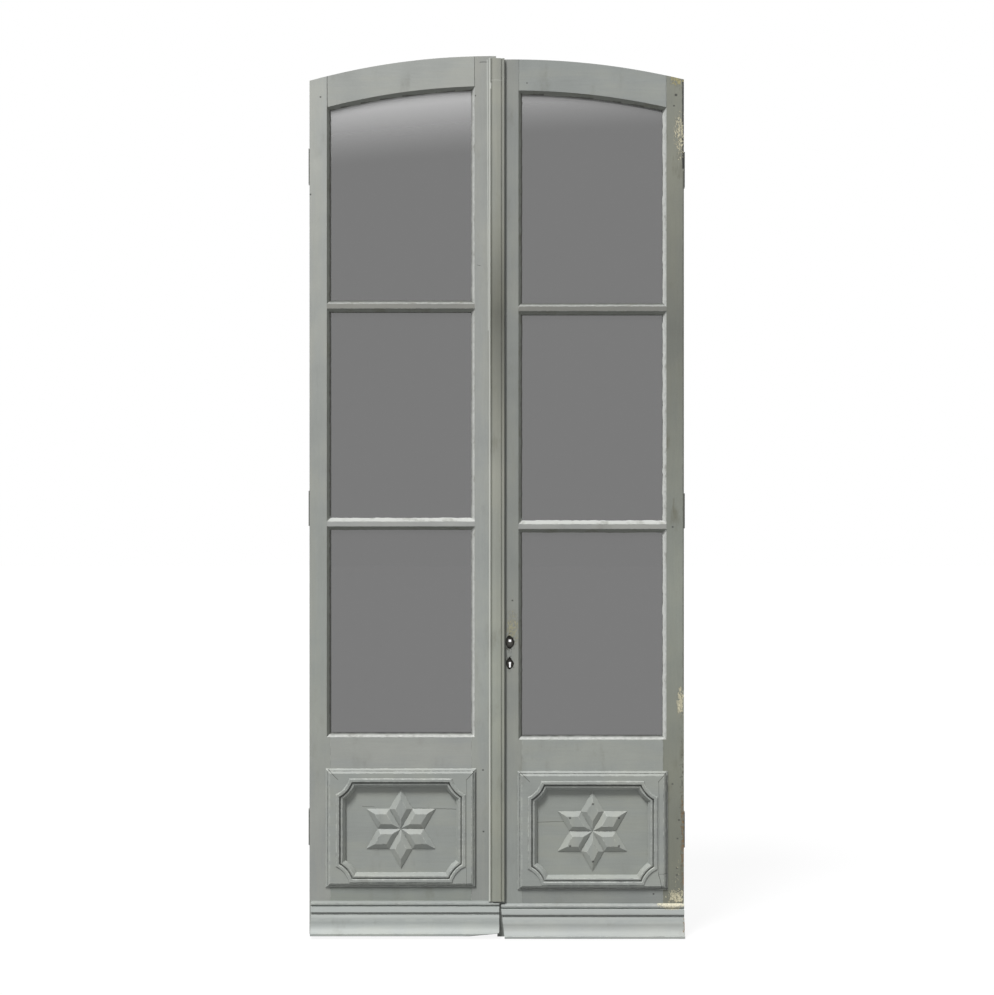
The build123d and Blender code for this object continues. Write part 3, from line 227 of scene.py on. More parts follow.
class Graph:
    """The node tree of a material or of the world."""

    def __init__(self, owner: Any, ending: str = "ShaderNodeOutputMaterial") -> None:
        """Empties the tree.

        Args:
            owner: The material or the world.
            ending: The type of its last node.
        """
        owner.use_nodes = True
        self.owner = owner
        self.tree = owner.node_tree
        self.tree.nodes.clear()
        self.output = self.tree.nodes.new(ending)

    def _feed(self, target: Any, source: Any) -> None:
        """Links a value to an input, or sets the input to a constant.

        Args:
            target: The input.
            source: A value, a number or a tuple.
        """
        if isinstance(source, Value):
            self.tree.links.new(source.socket, target)
        elif isinstance(source, tuple) and len(source) == 3 and target.type == "RGBA":
            target.default_value = (*source, 1.0)
        else:
            target.default_value = source

    def node(
        self, kind: str, settings: dict[str, Any], inputs: dict[Any, Any], output: Any = 0
    ) -> Value:
        """Adds any node.

        Args:
            kind: The node's type.
            settings: Its settings, set before its sockets.
            inputs: Its inputs by number or name, constants or values.
            output: The number or name of the output to give back.

        Returns:
            The chosen output.
        """
        made = self.tree.nodes.new(kind)
        for name, setting in settings.items():
            setattr(made, name, setting)
        for key, source in inputs.items():
            self._feed(made.inputs[key], source)
        return Value(self, made.outputs[output])

    def place(self) -> Value:
        """Object coordinates."""
        return self.node("ShaderNodeTexCoord", {}, {}, "Object")

    def axes(self) -> tuple[Value, Value, Value]:
        """The three object coordinates apart.

        Returns:
            X, Y and Z.
        """
        parts = self.tree.nodes.new("ShaderNodeSeparateXYZ")
        self._feed(parts.inputs[0], self.place())
        return tuple(Value(self, socket) for socket in parts.outputs)

    def attribute(self, name: str) -> Value:
        """A number that the mesh carries."""
        return self.node("ShaderNodeAttribute", {"attribute_name": name}, {}, "Fac")

    def openness(self, reach: float, alone: bool = True) -> Value:
        """How open the room about a point is: 1 on a flat face, less in a hollow.

        Args:
            reach: How far walls are felt, in metres.
            alone: Whether only the piece's own walls count.

        Returns:
            The openness from 0 to 1.
        """
        settings = {"samples": 6, "only_local": alone}
        return self.node("ShaderNodeAmbientOcclusion", settings, {"Distance": reach}, "AO")

    def noise(
        self,
        scale: float,
        stretch: Triple = (1.0, 1.0, 1.0),
        detail: float = 3.0,
        roughness: float = 0.5,
        shift: float = 0.0,
    ) -> Value:
        """Noise in object coordinates.

        Args:
            scale: Patches to a metre.
            stretch: Factor on each coordinate; below 1 draws the pattern out.
            detail: Octaves.
            roughness: Strength of the finer octaves.
            shift: Moves the pattern, so that two of one scale differ.

        Returns:
            Noise about 0.5.
        """
        moved = self.node(
            "ShaderNodeVectorMath",
            {"operation": "MULTIPLY_ADD"},
            {0: self.place(), 1: stretch, 2: (shift, shift, shift)},
        )
        return self.node(
            "ShaderNodeTexNoise",
            {"noise_dimensions": "3D"},
            {"Vector": moved, "Scale": scale, "Detail": detail, "Roughness": roughness},
        )

    def mix(self, factor: Any, first: Any, second: Any, blend: str = "MIX") -> Value:
        """Mixes two colours.

        Args:
            factor: Share of the second.
            first: Colour at 0.
            second: Colour at 1.
            blend: The way they mix.

        Returns:
            The mixed colour.
        """
        settings = {"data_type": "RGBA", "blend_type": blend, "clamp_factor": True}
        return self.node("ShaderNodeMix", settings, {0: factor, 6: first, 7: second}, 2)

    def ramp(self, factor: Value, stops: Iterable[tuple[float, Colour]]) -> Value:
        """Colour ramp with the given stops.

        Args:
            factor: Place on the ramp.
            stops: Position and linear colour of each stop.

        Returns:
            The colour.
        """
        made = self.tree.nodes.new("ShaderNodeValToRGB")
        elements = made.color_ramp.elements
        for index, (position, colour) in enumerate(stops):
            element = elements[index] if index < 2 else elements.new(position)
            element.position = position
            element.color = (*colour, 1.0)
        self._feed(made.inputs[0], factor)
        return Value(self, made.outputs[0])

    def shade(self, colour: Value, light: Value) -> Value:
        """Makes a colour lighter or darker by a factor about 1."""
        factor = self.node("ShaderNodeCombineColor", {}, {0: light, 1: light, 2: light})
        return self.mix(1.0, colour, factor, "MULTIPLY")

    def bump(self, height: Value, strength: float, depth: float) -> Value:
        """Normal from a height.

        Args:
            height: Relief from 0 to 1.
            strength: How much of it shows.
            depth: Height of the relief in metres.

        Returns:
            The normal.
        """
        inputs = {"Strength": strength, "Distance": depth, "Height": height}
        return self.node("ShaderNodeBump", {}, inputs)

    def surface(self, **inputs: Any) -> bpy.types.Material:
        """Ends the graph in a Principled shader.

        Args:
            inputs: Its sockets by name, with underscores for spaces.

        Returns:
            The finished material.
        """
        named = {name.replace("_", " "): source for name, source in inputs.items()}
        return self.end(self.node("ShaderNodeBsdfPrincipled", {}, named))

    def end(self, shader: Value) -> Any:
        """Ends the graph in any shader.

        Args:
            shader: The shader's output.

        Returns:
            The finished material or world.
        """
        self.tree.links.new(shader.socket, self.output.inputs["Surface"])
        return self.owner

    def seen(self) -> Value:
        """Tells the rays that show a surface from those that light others.

        Returns:
            1 for camera, mirror and see-through rays, 0 for the others.
        """
        kinds = ("Is Camera Ray", "Is Glossy Ray", "Is Transmission Ray")
        camera, glossy, through = (self.node("ShaderNodeLightPath", {}, {}, kind) for kind in kinds)
        return camera.most(glossy).most(through)


# Colours of wear, dirt and paint, and of painted shade, shadow and highlight
PALE_FILLER = linear(206, 200, 172)
LIGHT_FILLER = linear(222, 217, 194)
OLIVE_FILLER = linear(160, 157, 132)
YELLOWED = linear(168, 160, 116)
RUST_STAIN = linear(120, 92, 60)
BROWN_WOOD = linear(128, 100, 66)
# Soot, also used as painted shade in hollows and along the putty's shaded edge
SOOT_AND_SHADE = linear(58, 58, 53)
# Near black of holes and joints, also used for painted shadow along shaded edges and in deep holes
GAP_AND_SHADE = linear(34, 34, 32)
# Near black of painted shade on metal buried in the timber
SHADE_BLACK = linear(22, 22, 20)
OLIVE_DIRT = linear(98, 97, 82)
# Painted shade on the weatherboards' upward slopes, and painted light on their fillet in the top bead's
# shadow
SLOPE_SHADE = linear(132, 136, 133)
FILLET_LIGHT = linear(184, 189, 186)
# Pale paint, also used as painted highlight on arrises and on lit beads
PALE_PAINT_AND_HIGHLIGHT = linear(205, 208, 202)
WHITE_DRIP = linear(226, 227, 220)
DARK_EDGE = linear(70, 70, 62)
# Dark line of a moulding's quirk, painted shade
STRIP_LINE = linear(104, 106, 98)

# Glass, and the share of light that each of a pane's two faces lets through
GLASS_GREY = grey(52)
GLASS_DUST = grey(58)
# Painted reflection at the top of the upper panes
GLASS_REFLECTION = grey(215)
GLASS_CLEAR = 0.38

# Scales of the paint's patterns, in patches to a metre
STREAKS = 170.0
SMEARS = 30.0
CLOUDS = 8.0
SPECKS = 420.0
SMUDGES = 17.0
BENDS = 38.0
WEAR = 55.0


@dataclass(frozen=True)
class Mark:
    """A line or a dot on a painted face: a joint, a crack, a nail hole, a run of paint, or a painted
    shadow or highlight.

    Attributes:
        start: One end in the photograph.
        end: The other end; the same point makes a dot.
        width: Width in millimetres.
        colour: Colour of the mark.
        amount: How much of it covers the paint.
        wander: How far it strays from a straight line, in millimetres.
        soft: Width of its soft edge, as a share of half its width.
    """

    start: Pixel
    end: Pixel
    width: float = 1.6
    colour: Colour = SOOT_AND_SHADE
    amount: float = 0.8
    wander: float = 1.0
    soft: float = 0.6

    def mask(self, x: Value, y: Value, z: Value, sway: Value) -> Value:
        """Where the mark shows; the inner side of the boards carries none.

        Args:
            x: Distance to the right.
            y: Distance inwards.
            z: Height.
            sway: Slow noise from -1 to 1 that bends the line.

        Returns:
            A mask from 0 to 1.
        """
        x0, z0 = across(self.start[0]), up(self.start[1])
        x1, z1 = across(self.end[0]), up(self.end[1])
        length = math.hypot(x1 - x0, z1 - z0)
        run_x, run_z = ((x1 - x0) / length, (z1 - z0) / length) if length else (1.0, 0.0)
        right = x - (x0 + x1) / 2
        rise = z - (z0 + z1) / 2
        along = right * run_x + rise * run_z
        off = rise * run_x - right * run_z + sway * (self.wander * MILLIMETRE)
        half = self.width * MILLIMETRE / 2
        line = off.near(0.0, half, half * self.soft) * along.near(0.0, length / 2 + half, half)
        return line * y.step(*MARK_DEPTHS) * self.amount


@dataclass(frozen=True)
class Flaking:
    """A spot where the paint comes off in small flakes, by its place in the photograph.

    Attributes:
        centre: Its middle.
        size: Its width and height.
        colour: What shows under the paint.
        amount: Share of the spot's middle that is bare, about 0 to 1.
        grit: Flakes to a metre.
    """

    centre: Pixel
    size: Pixel
    colour: Colour
    amount: float
    grit: float = 210.0

    def masks(self, graph: Graph, x: Value, y: Value, z: Value) -> tuple[Value, Value]:
        """Where the paint is off, and the dark rims of what is left.

        Args:
            graph: The paint's graph.
            x: Distance to the right.
            y: Distance inwards.
            z: Height.

        Returns:
            The flakes and their rims, each from 0 to 1.
        """
        right = (x - across(self.centre[0])) / (self.size[0] * METRES_PER_PIXEL / 2)
        rise = (z - up(self.centre[1])) / (self.size[1] * METRES_PER_PIXEL / 2)
        reach = (1 - (right * right + rise * rise).root()).held() * y.step(*FLAKE_DEPTHS)
        broken = graph.noise(self.grit, (1.0, 1.0, 0.55), 5.0, 0.72, shift=self.centre[1])
        middle = reach.step(0.0, 0.8) * (0.22 * self.amount)
        level = broken + middle + reach.step(0.0, 0.12) * 0.5
        edge = 1.16 - 0.1 * self.amount
        return level.step(edge, edge + 0.03), level.near(edge - 0.012, 0.008, 0.012)


@dataclass(frozen=True)
class Paint:
    """Old grey oil paint on a board.

    Attributes:
        name: The material's name.
        tones: Height in metres and colour as shown, from the foot up.
        grain: The way the board runs.
        grime: Share of dirt.
        flaking: Spots of bare wood that belong to this board.
        marks: Joints, cracks, nail holes, runs of paint, and painted shadows and highlights.
        thick: Share of the arrises that carries a pale ridge of paint and painted highlight.
        warmth: Tint of the warm clouds in the paint.
        crevice: How far into a hollow the painted shade and soot reach, in metres.
        relief: Height of the brush marks and flakes, in metres.
    """

    name: str
    tones: tuple[tuple[float, Colour], ...]
    grain: Grain = Grain.UPRIGHT
    grime: float = 0.5
    flaking: tuple[Flaking, ...] = ()
    marks: tuple[Mark, ...] = ()
    thick: float = 0.5
    warmth: Colour = (1.02, 1.0, 0.95)
    crevice: float = 0.009
    relief: float = 0.0007

    def ground(self, graph: Graph, z: Value) -> Union[Value, Colour]:
        """The paint's colour with its slow change over the height.

        Args:
            graph: The paint's graph.
            z: Height.

        Returns:
            A ramp over the height, or the one tone that the board has.
        """
        if len(self.tones) == 1:
            return self.tones[0][1]
        low, high = self.tones[0][0], self.tones[-1][0]
        stops = [((height - low) / (high - low), colour) for height, colour in self.tones]
        return graph.ramp(((z - low) / (high - low)).held(), stops)

    def material(self) -> bpy.types.Material:
        """Builds the finish.

        Returns:
            The material.
        """
        graph = Graph(bpy.data.materials.new(self.name))
        x, y, z = graph.axes()
        streaks = graph.noise(STREAKS, self.grain.value, 4.0, 0.6)
        smears = graph.noise(SMEARS, self.grain.value, 3.0, shift=11.0)
        clouds = graph.noise(CLOUDS, detail=4.0, shift=3.0)
        specks = graph.noise(SPECKS, detail=2.0, shift=7.0)
        colour = self.ground(graph, z)
        warm = graph.mix(1.0, colour, self.warmth, "MULTIPLY")
        colour = graph.mix((clouds + smears).step(0.85, 1.2) * 0.6, colour, warm)
        light = (streaks - 0.5) * 0.16 + (clouds - 0.5) * 0.34 + (smears - 0.5) * 0.12
        colour = graph.shade(colour, light + (specks - 0.5) * 0.12 + 1.0)
        smudges = graph.noise(SMUDGES, (1.0, 1.0, 0.45), 4.0, 0.6, shift=23.0)
        dirt = (smudges + (streaks - 0.5) * 0.3).step(0.56, 0.82) * (0.55 * self.grime)
        colour = graph.mix(dirt, colour, OLIVE_DIRT)
        # painted shade with dirt: hollows darken towards soot as they close in
        hollow = graph.openness(self.crevice).step(0.82, 0.45) * (specks * 0.5 + 0.4)
        colour = graph.mix(hollow * 0.8, colour, SOOT_AND_SHADE)
        colour = self.arrises(graph, colour, streaks)
        height = streaks * 0.45 + specks * 0.3 + clouds * 0.5
        sway = (graph.noise(BENDS, detail=3.0, shift=31.0) - 0.5) * 4
        for mark in self.marks:
            mask = mark.mask(x, y, z, sway)
            colour = graph.mix(mask, colour, mark.colour)
            height = height - mask * 0.8
        for spot in self.flaking:
            bare, rim = spot.masks(graph, x, y, z)
            tone = graph.mix(specks.step(0.35, 0.7) * 0.6, spot.colour, OLIVE_DIRT)
            colour = graph.mix(rim * 0.6, graph.mix(bare, colour, tone), SOOT_AND_SHADE)
            height = height - bare * 0.9
        rough = 0.5 + (clouds - 0.5) * 0.25 + streaks * 0.1
        normal = graph.bump(height, 0.5, self.relief)
        return graph.surface(Base_Color=colour, Roughness=rough, Normal=normal)

    def arrises(self, graph: Graph, colour: Value, streaks: Value) -> Value:
        """Adds pale ridges of paint with painted highlight, and rubbed, grimy stretches along the arrises.

        Args:
            graph: The paint's graph.
            colour: The paint so far.
            streaks: The brush marks.

        Returns:
            The paint with its arrises.
        """
        arris = graph.attribute(ARRIS)
        worn = graph.noise(WEAR, detail=5.0, roughness=0.7, shift=41.0)
        # painted highlight with pale paint along the arrises
        pale = arris * (worn + (streaks - 0.5) * 0.3).step(0.46, 0.6) * self.thick
        rubbed = arris * worn.step(0.45, 0.33) * 0.75
        return graph.mix(rubbed, graph.mix(pale, colour, PALE_PAINT_AND_HIGHLIGHT), SOOT_AND_SHADE)


@dataclass(frozen=True)
class PuttyFinish:
    """Painted putty: pale paint with painted light on the slopes that face up and left, painted shade on
    the others and next to the glass.

    Attributes:
        name: The material's name.
        pale: Pale paint with painted light, on the slopes that face up and left.
        glass_side_shade: Painted shade on those slopes, next to the glass.
        shaded_side: Painted shade on the slopes that face down and right.
        brushed: Pale ridges in the paint on the slopes that face up and left.
        lumps: Lumps to a metre.
        stains: Stains to a metre.
        relief: Height of the lumps, in metres.
    """

    name: str
    pale: Colour = linear(180, 182, 178)
    glass_side_shade: Colour = linear(92, 94, 90)
    shaded_side: Colour = linear(124, 127, 121)
    brushed: Colour = linear(206, 208, 204)
    lumps: float = 75.0
    stains: float = 24.0
    relief: float = 0.0012

    def material(self) -> bpy.types.Material:
        """Builds the finish.

        Returns:
            The material.
        """
        graph = Graph(bpy.data.materials.new(self.name))
        fresh = graph.attribute(PALE_LIT_SIDE)
        rim = graph.attribute(RIM)
        lumps = graph.noise(self.lumps, detail=4.0, roughness=0.65)
        stains = graph.noise(self.stains, detail=4.0, roughness=0.6, shift=5.0)
        # painted light: slopes that face up and left take pale paint and painted highlight, fading to
        # painted shade at the glass; the others keep the painted shade
        thick = (fresh * 2.2 - rim * 1.2 + (lumps - 0.5) * 0.5 * fresh).held()
        ground = graph.mix(fresh.step(0.0, 0.3), self.shaded_side, self.glass_side_shade)
        colour = graph.mix(thick, ground, self.pale)
        colour = graph.mix(stains.step(0.52, 0.68) * 0.4, colour, OLIVE_DIRT)
        ridge = thick * (rim * 0.5 + lumps * 0.9).step(0.5, 0.8) * 0.8
        colour = graph.mix(ridge, colour, self.brushed)
        # painted shade along the glass edge of the slopes that face down and right
        shaded_rim = (1 - fresh) * (rim + lumps * 0.6).step(0.75, 1.15) * 0.75
        colour = graph.mix(shaded_rim, colour, SOOT_AND_SHADE)
        normal = graph.bump(lumps + stains, 0.7, self.relief)
        return graph.surface(Base_Color=colour, Roughness=0.6, Normal=normal)


@dataclass(frozen=True)
class PaneFinish:
    """Grey window glass that lets a little of the pale ground through.

    Attributes:
        name: The material's name.
        reflection_top: Height at which the painted reflection is brightest, in metres.
        reflection_fall: Distance over which it fades out downwards.
        reflection: How pale it is at its brightest, from 0 to 1.
        lean: Rise of its level for each metre to the right.
        dust: Patches of dust to a metre.
        roughness: Roughness of the glass.
    """

    name: str
    reflection_top: float = 0.0
    reflection_fall: float = 1.0
    reflection: float = 0.0
    lean: float = 0.0
    dust: float = 12.0
    roughness: float = 0.08

    def material(self) -> bpy.types.Material:
        """Builds the finish.

        Returns:
            The material.
        """
        graph = Graph(bpy.data.materials.new(self.name))
        x, _, z = graph.axes()
        dust = graph.noise(self.dust, detail=2.0)
        colour = graph.mix(dust * 0.3, GLASS_GREY, GLASS_DUST)
        # painted reflection: a pale gradient at the top of the pane, under the arch
        if self.reflection:
            height = z - x * self.lean
            reflection_fade = ((height - (self.reflection_top - self.reflection_fall)) / self.reflection_fall).held()
            colour = graph.mix(reflection_fade * reflection_fade.root() * self.reflection, colour, GLASS_REFLECTION)
        return graph.surface(Base_Color=colour, Roughness=self.roughness, Alpha=1 - GLASS_CLEAR)


@dataclass(frozen=True)
class MetalFinish:
    """Dull metal with spots of rust, and painted shade, near black, where it is buried in the timber.

    Attributes:
        name: The material's name.
        colour: The bare metal.
        rust: How much of a rust spot covers the metal.
        metallic: How much the bare metal shines as metal.
        roughness: Its roughness where nothing lies on it.
        spots: Spots of rust to a metre.
        clouds: Patches of spots to a metre.
        shelter: How far the timber round it is felt, in metres.
        relief: Height of the rust, in metres.
    """

    name: str
    colour: Colour
    rust: float = 0.5
    metallic: float = 0.85
    roughness: float = 0.42
    spots: float = 140.0
    clouds: float = 30.0
    shelter: float = 0.04
    relief: float = 0.0003

    def material(self) -> bpy.types.Material:
        """Builds the finish.

        Returns:
            The material.
        """
        graph = Graph(bpy.data.materials.new(self.name))
        spots = graph.noise(self.spots, detail=4.0, roughness=0.6)
        clouds = graph.noise(self.clouds, detail=2.0, shift=4.0)
        mask = (spots * 0.6 + clouds * 0.5).step(0.6, 0.72) * self.rust
        colour = graph.mix(mask, self.colour, RUST_STAIN)
        # painted shade: metal deep in the timber is painted near black
        buried = graph.openness(self.shelter, alone=False).step(0.75, 0.45)
        colour = graph.mix(buried, colour, SHADE_BLACK)
        return graph.surface(
            Base_Color=colour,
            Metallic=self.metallic * (1 - mask),
            Roughness=self.roughness + spots * 0.15,
            Normal=graph.bump(spots, 0.3, self.relief),
        )


def placed(name: str, data: Any) -> bpy.types.Object:
    """Adds an object to the scene."""
    made = bpy.data.objects.new(name, data)
    bpy.context.scene.collection.objects.link(made)
    return made


def dress(piece: bpy.types.Object, material: bpy.types.Material) -> None:
    """Gives a piece its only material."""
    piece.data.materials.clear()
    piece.data.materials.append(material)


def merged(node: bpy.types.Object) -> bmesh.types.BMesh:
    """Copies a solid's mesh with its loose triangles joined and its flats made whole.

    Args:
        node: The solid.

    Returns:
        The copy.
    """
    work = bmesh.new()
    work.from_mesh(node.data)
    bmesh.ops.remove_doubles(work, verts=work.verts, dist=JOIN_DISTANCE)
    bmesh.ops.dissolve_limit(
        work, angle_limit=math.radians(FLAT_ANGLE), verts=work.verts, edges=work.edges
    )
    return work


def stand_for(
    work: bmesh.types.BMesh, node: bpy.types.Object, name: str, crease: float = 24.0
) -> bpy.types.Object:
    """Ends a copy as a piece that rides with its solid and takes its place.

    Args:
        work: The shaped copy.
        node: The solid that it was copied from.
        name: The piece's name.
        crease: Smallest angle of an edge that stays crisp, in degrees.

    Returns:
        The piece.
    """
    mesh = bpy.data.meshes.new(name)
    work.to_mesh(mesh)
    work.free()
    mesh.shade_smooth()
    mesh.set_sharp_from_angle(angle=math.radians(crease))
    piece = placed(name, mesh)
    even = piece.modifiers.new("even_shading", "WEIGHTED_NORMAL")
    even.keep_sharp = True
    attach(piece, node["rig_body"])
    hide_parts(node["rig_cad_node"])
    return piece


@dataclass(frozen=True)
class Softened:
    """Copies a board's mesh and rounds its arrises.

    Attributes:
        width: Width of the rounding in metres.
        segments: Faces across the rounding.
        sharp: Smallest angle of an edge that is rounded, in degrees.
        crease: Smallest angle of an edge that is shaded crisp afterwards, in degrees.
        chip: Both ends of the cut that takes a splinter off the foot, in the photograph.
    """

    width: float = 0.001
    segments: int = 2
    sharp: float = 18.0
    crease: float = 24.0
    chip: tuple[Pixel, Pixel] | None = None

    def make(self, node: bpy.types.Object, name: str) -> bpy.types.Object:
        """Builds the softened copy.

        Args:
            node: The solid to copy.
            name: The new piece's name.

        Returns:
            The new piece.
        """
        work = merged(node)
        if self.chip:
            self.splinter(work)
        convex = [
            edge
            for edge in work.edges
            if len(edge.link_faces) == 2 and edge.calc_face_angle_signed(0.0) > math.radians(self.sharp)
        ]
        layer = work.loops.layers.float.new(ARRIS)
        rounded = bmesh.ops.bevel(
            work,
            geom=convex,
            offset=self.width,
            offset_type="OFFSET",
            affect="EDGES",
            segments=self.segments,
            profile=0.5,
            material=-1,
            clamp_overlap=True,
        )
        for face in rounded["faces"]:
            for loop in face.loops:
                loop[layer] = 1.0
        return stand_for(work, node, name, self.crease)

    def splinter(self, work: bmesh.types.BMesh) -> None:
        """Cuts a shallow wedge off the board's foot and closes the cut.

        Args:
            work: The board's copy.
        """
        start, end = self.chip
        place = Vector((across(start[0]), 0.0, up(start[1])))
        run = Vector((across(end[0]), 0.0, up(end[1]))) - place
        normal = Vector((run.z, 0.0, -run.x)).normalized()
        geometry = [*work.verts, *work.edges, *work.faces]
        cut = bmesh.ops.bisect_plane(
            work, geom=geometry, plane_co=place, plane_no=normal, clear_outer=True
        )
        rim = [item for item in cut["geom_cut"] if isinstance(item, bmesh.types.BMEdge)]
        bmesh.ops.contextual_create(work, geom=rim)


@dataclass(frozen=True)
class RaggedPutty:
    """Copies a leaf's putty and gives it an uneven edge on the glass.

    Attributes:
        spacing: Distance between the cuts along the putty, in metres.
        stray: Furthest reach of the edge over the glass, in metres.
        grit: Waves of the edge to a metre.
        sills: Height and paleness of the slopes that face up, from the foot to the top; the paleness is
            pale paint with painted light.
        sides: Paleness of the slopes that face left, on the left and on the right leaf; pale paint with
            painted light.
        slope: Least share of a face's normal that points the way a slope is said to face.
        leaning: Range of Y of the normals that only slopes have.
        waves: Roughness, step in scale and octaves of the edge's waves.
        middle: Reach at the waves' middle, as a share of the furthest.
    """

    spacing: float = 0.012
    stray: float = 0.0016
    grit: float = 55.0
    sills: tuple[tuple[float, float], ...] = ((0.8, 0.5), (1.6, 1.0), (3.0, 0.3))
    sides: tuple[float, float] = (0.64, 0.95)
    slope: float = 0.3
    leaning: tuple[float, float] = (-0.95, -0.2)
    waves: tuple[float, float, int] = (0.8, 2.0, 3)
    middle: float = 0.3

    def paleness(self, face: bmesh.types.BMFace) -> float:
        """How pale a slope is painted by the way it faces: pale paint with painted light where it faces up
        and where it faces left.

        Args:
            face: A face of the putty.

        Returns:
            0 for none, 1 for all of it.
        """
        centre = face.calc_center_median()
        if face.normal.z > self.slope:
            return next(pale for height, pale in self.sills if centre.z < height)
        if face.normal.x < -self.slope:
            return self.sides[centre.x > 0.0]
        return 0.0

    def make(self, node: bpy.types.Object, name: str) -> bpy.types.Object:
        """Builds the ragged copy.

        Args:
            node: The solid to copy.
            name: The new piece's name.

        Returns:
            The new piece.
        """
        work = merged(node)
        low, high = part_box(node["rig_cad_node"])
        for axis in (0, 2):
            normal = Vector((0.0, 0.0, 0.0))
            normal[axis] = 1.0
            for count in range(1, int((high[axis] - low[axis]) / self.spacing)):
                place = Vector(low)
                place[axis] += count * self.spacing
                geometry = [*work.verts, *work.edges, *work.faces]
                bmesh.ops.bisect_plane(work, geom=geometry, plane_co=place, plane_no=normal)
        fresh = work.loops.layers.float.new(PALE_LIT_SIDE)
        rim = work.loops.layers.float.new(RIM)
        edge = {}
        steep, flat = self.leaning
        for vert in work.verts:
            slopes = [face.normal for face in vert.link_faces if steep < face.normal.y < flat]
            if slopes and vert.co.y > high.y - LEVEL:
                inward = sum(slopes, Vector((0.0, 0.0, 0.0)))
                inward.y = 0.0
                edge[vert] = inward.normalized()
        # each slope's paleness by the way it faces, as painted light, and the edge on the glass
        for face in work.faces:
            pale = self.paleness(face)
            for loop in face.loops:
                loop[fresh] = pale
                loop[rim] = float(loop.vert in edge)
        for vert, inward in edge.items():
            wave = noise.fractal(vert.co * self.grit, *self.waves)
            vert.co += inward * (self.stray * min(max(self.middle + wave, 0.0), 1.0))
        return stand_for(work, node, name)


def dots(*places: Pixel, width: float = 4.5, amount: float = 0.95) -> tuple[Mark, ...]:
    """Nail holes at places in the photograph."""
    return tuple(Mark(place, place, width, GAP_AND_SHADE, amount, 0.0) for place in places)


def level_paint(name: str, shown: tuple[Number, Number, Number], **extra: Any) -> Paint:
    """Paint of one tone on a board that lies level."""
    return Paint(f"{name}_paint", ((0.0, linear(*shown)),), Grain.LEVEL, **extra)


def upright_paint(name: str, tones: Iterable[tuple[float, Number, Number, Number]], **extra: Any) -> Paint:
    """Paint on an upright board, whose tone changes with the height.

    Args:
        name: The board's name.
        tones: Height in metres, red, green and blue as shown, from the foot up.
        extra: What else the paint has.

    Returns:
        The paint.
    """
    stops = tuple((height, linear(red, green, blue)) for height, red, green, blue in tones)
    return Paint(f"{name}_paint", stops, **extra)


@dataclass
class Trade:
    """What each trade's work starts from.

    Attributes:
        nodes: The solids by name.
        slots: Each solid's material slot.
    """

    nodes: dict[str, bpy.types.Object]
    slots: dict[str, str]


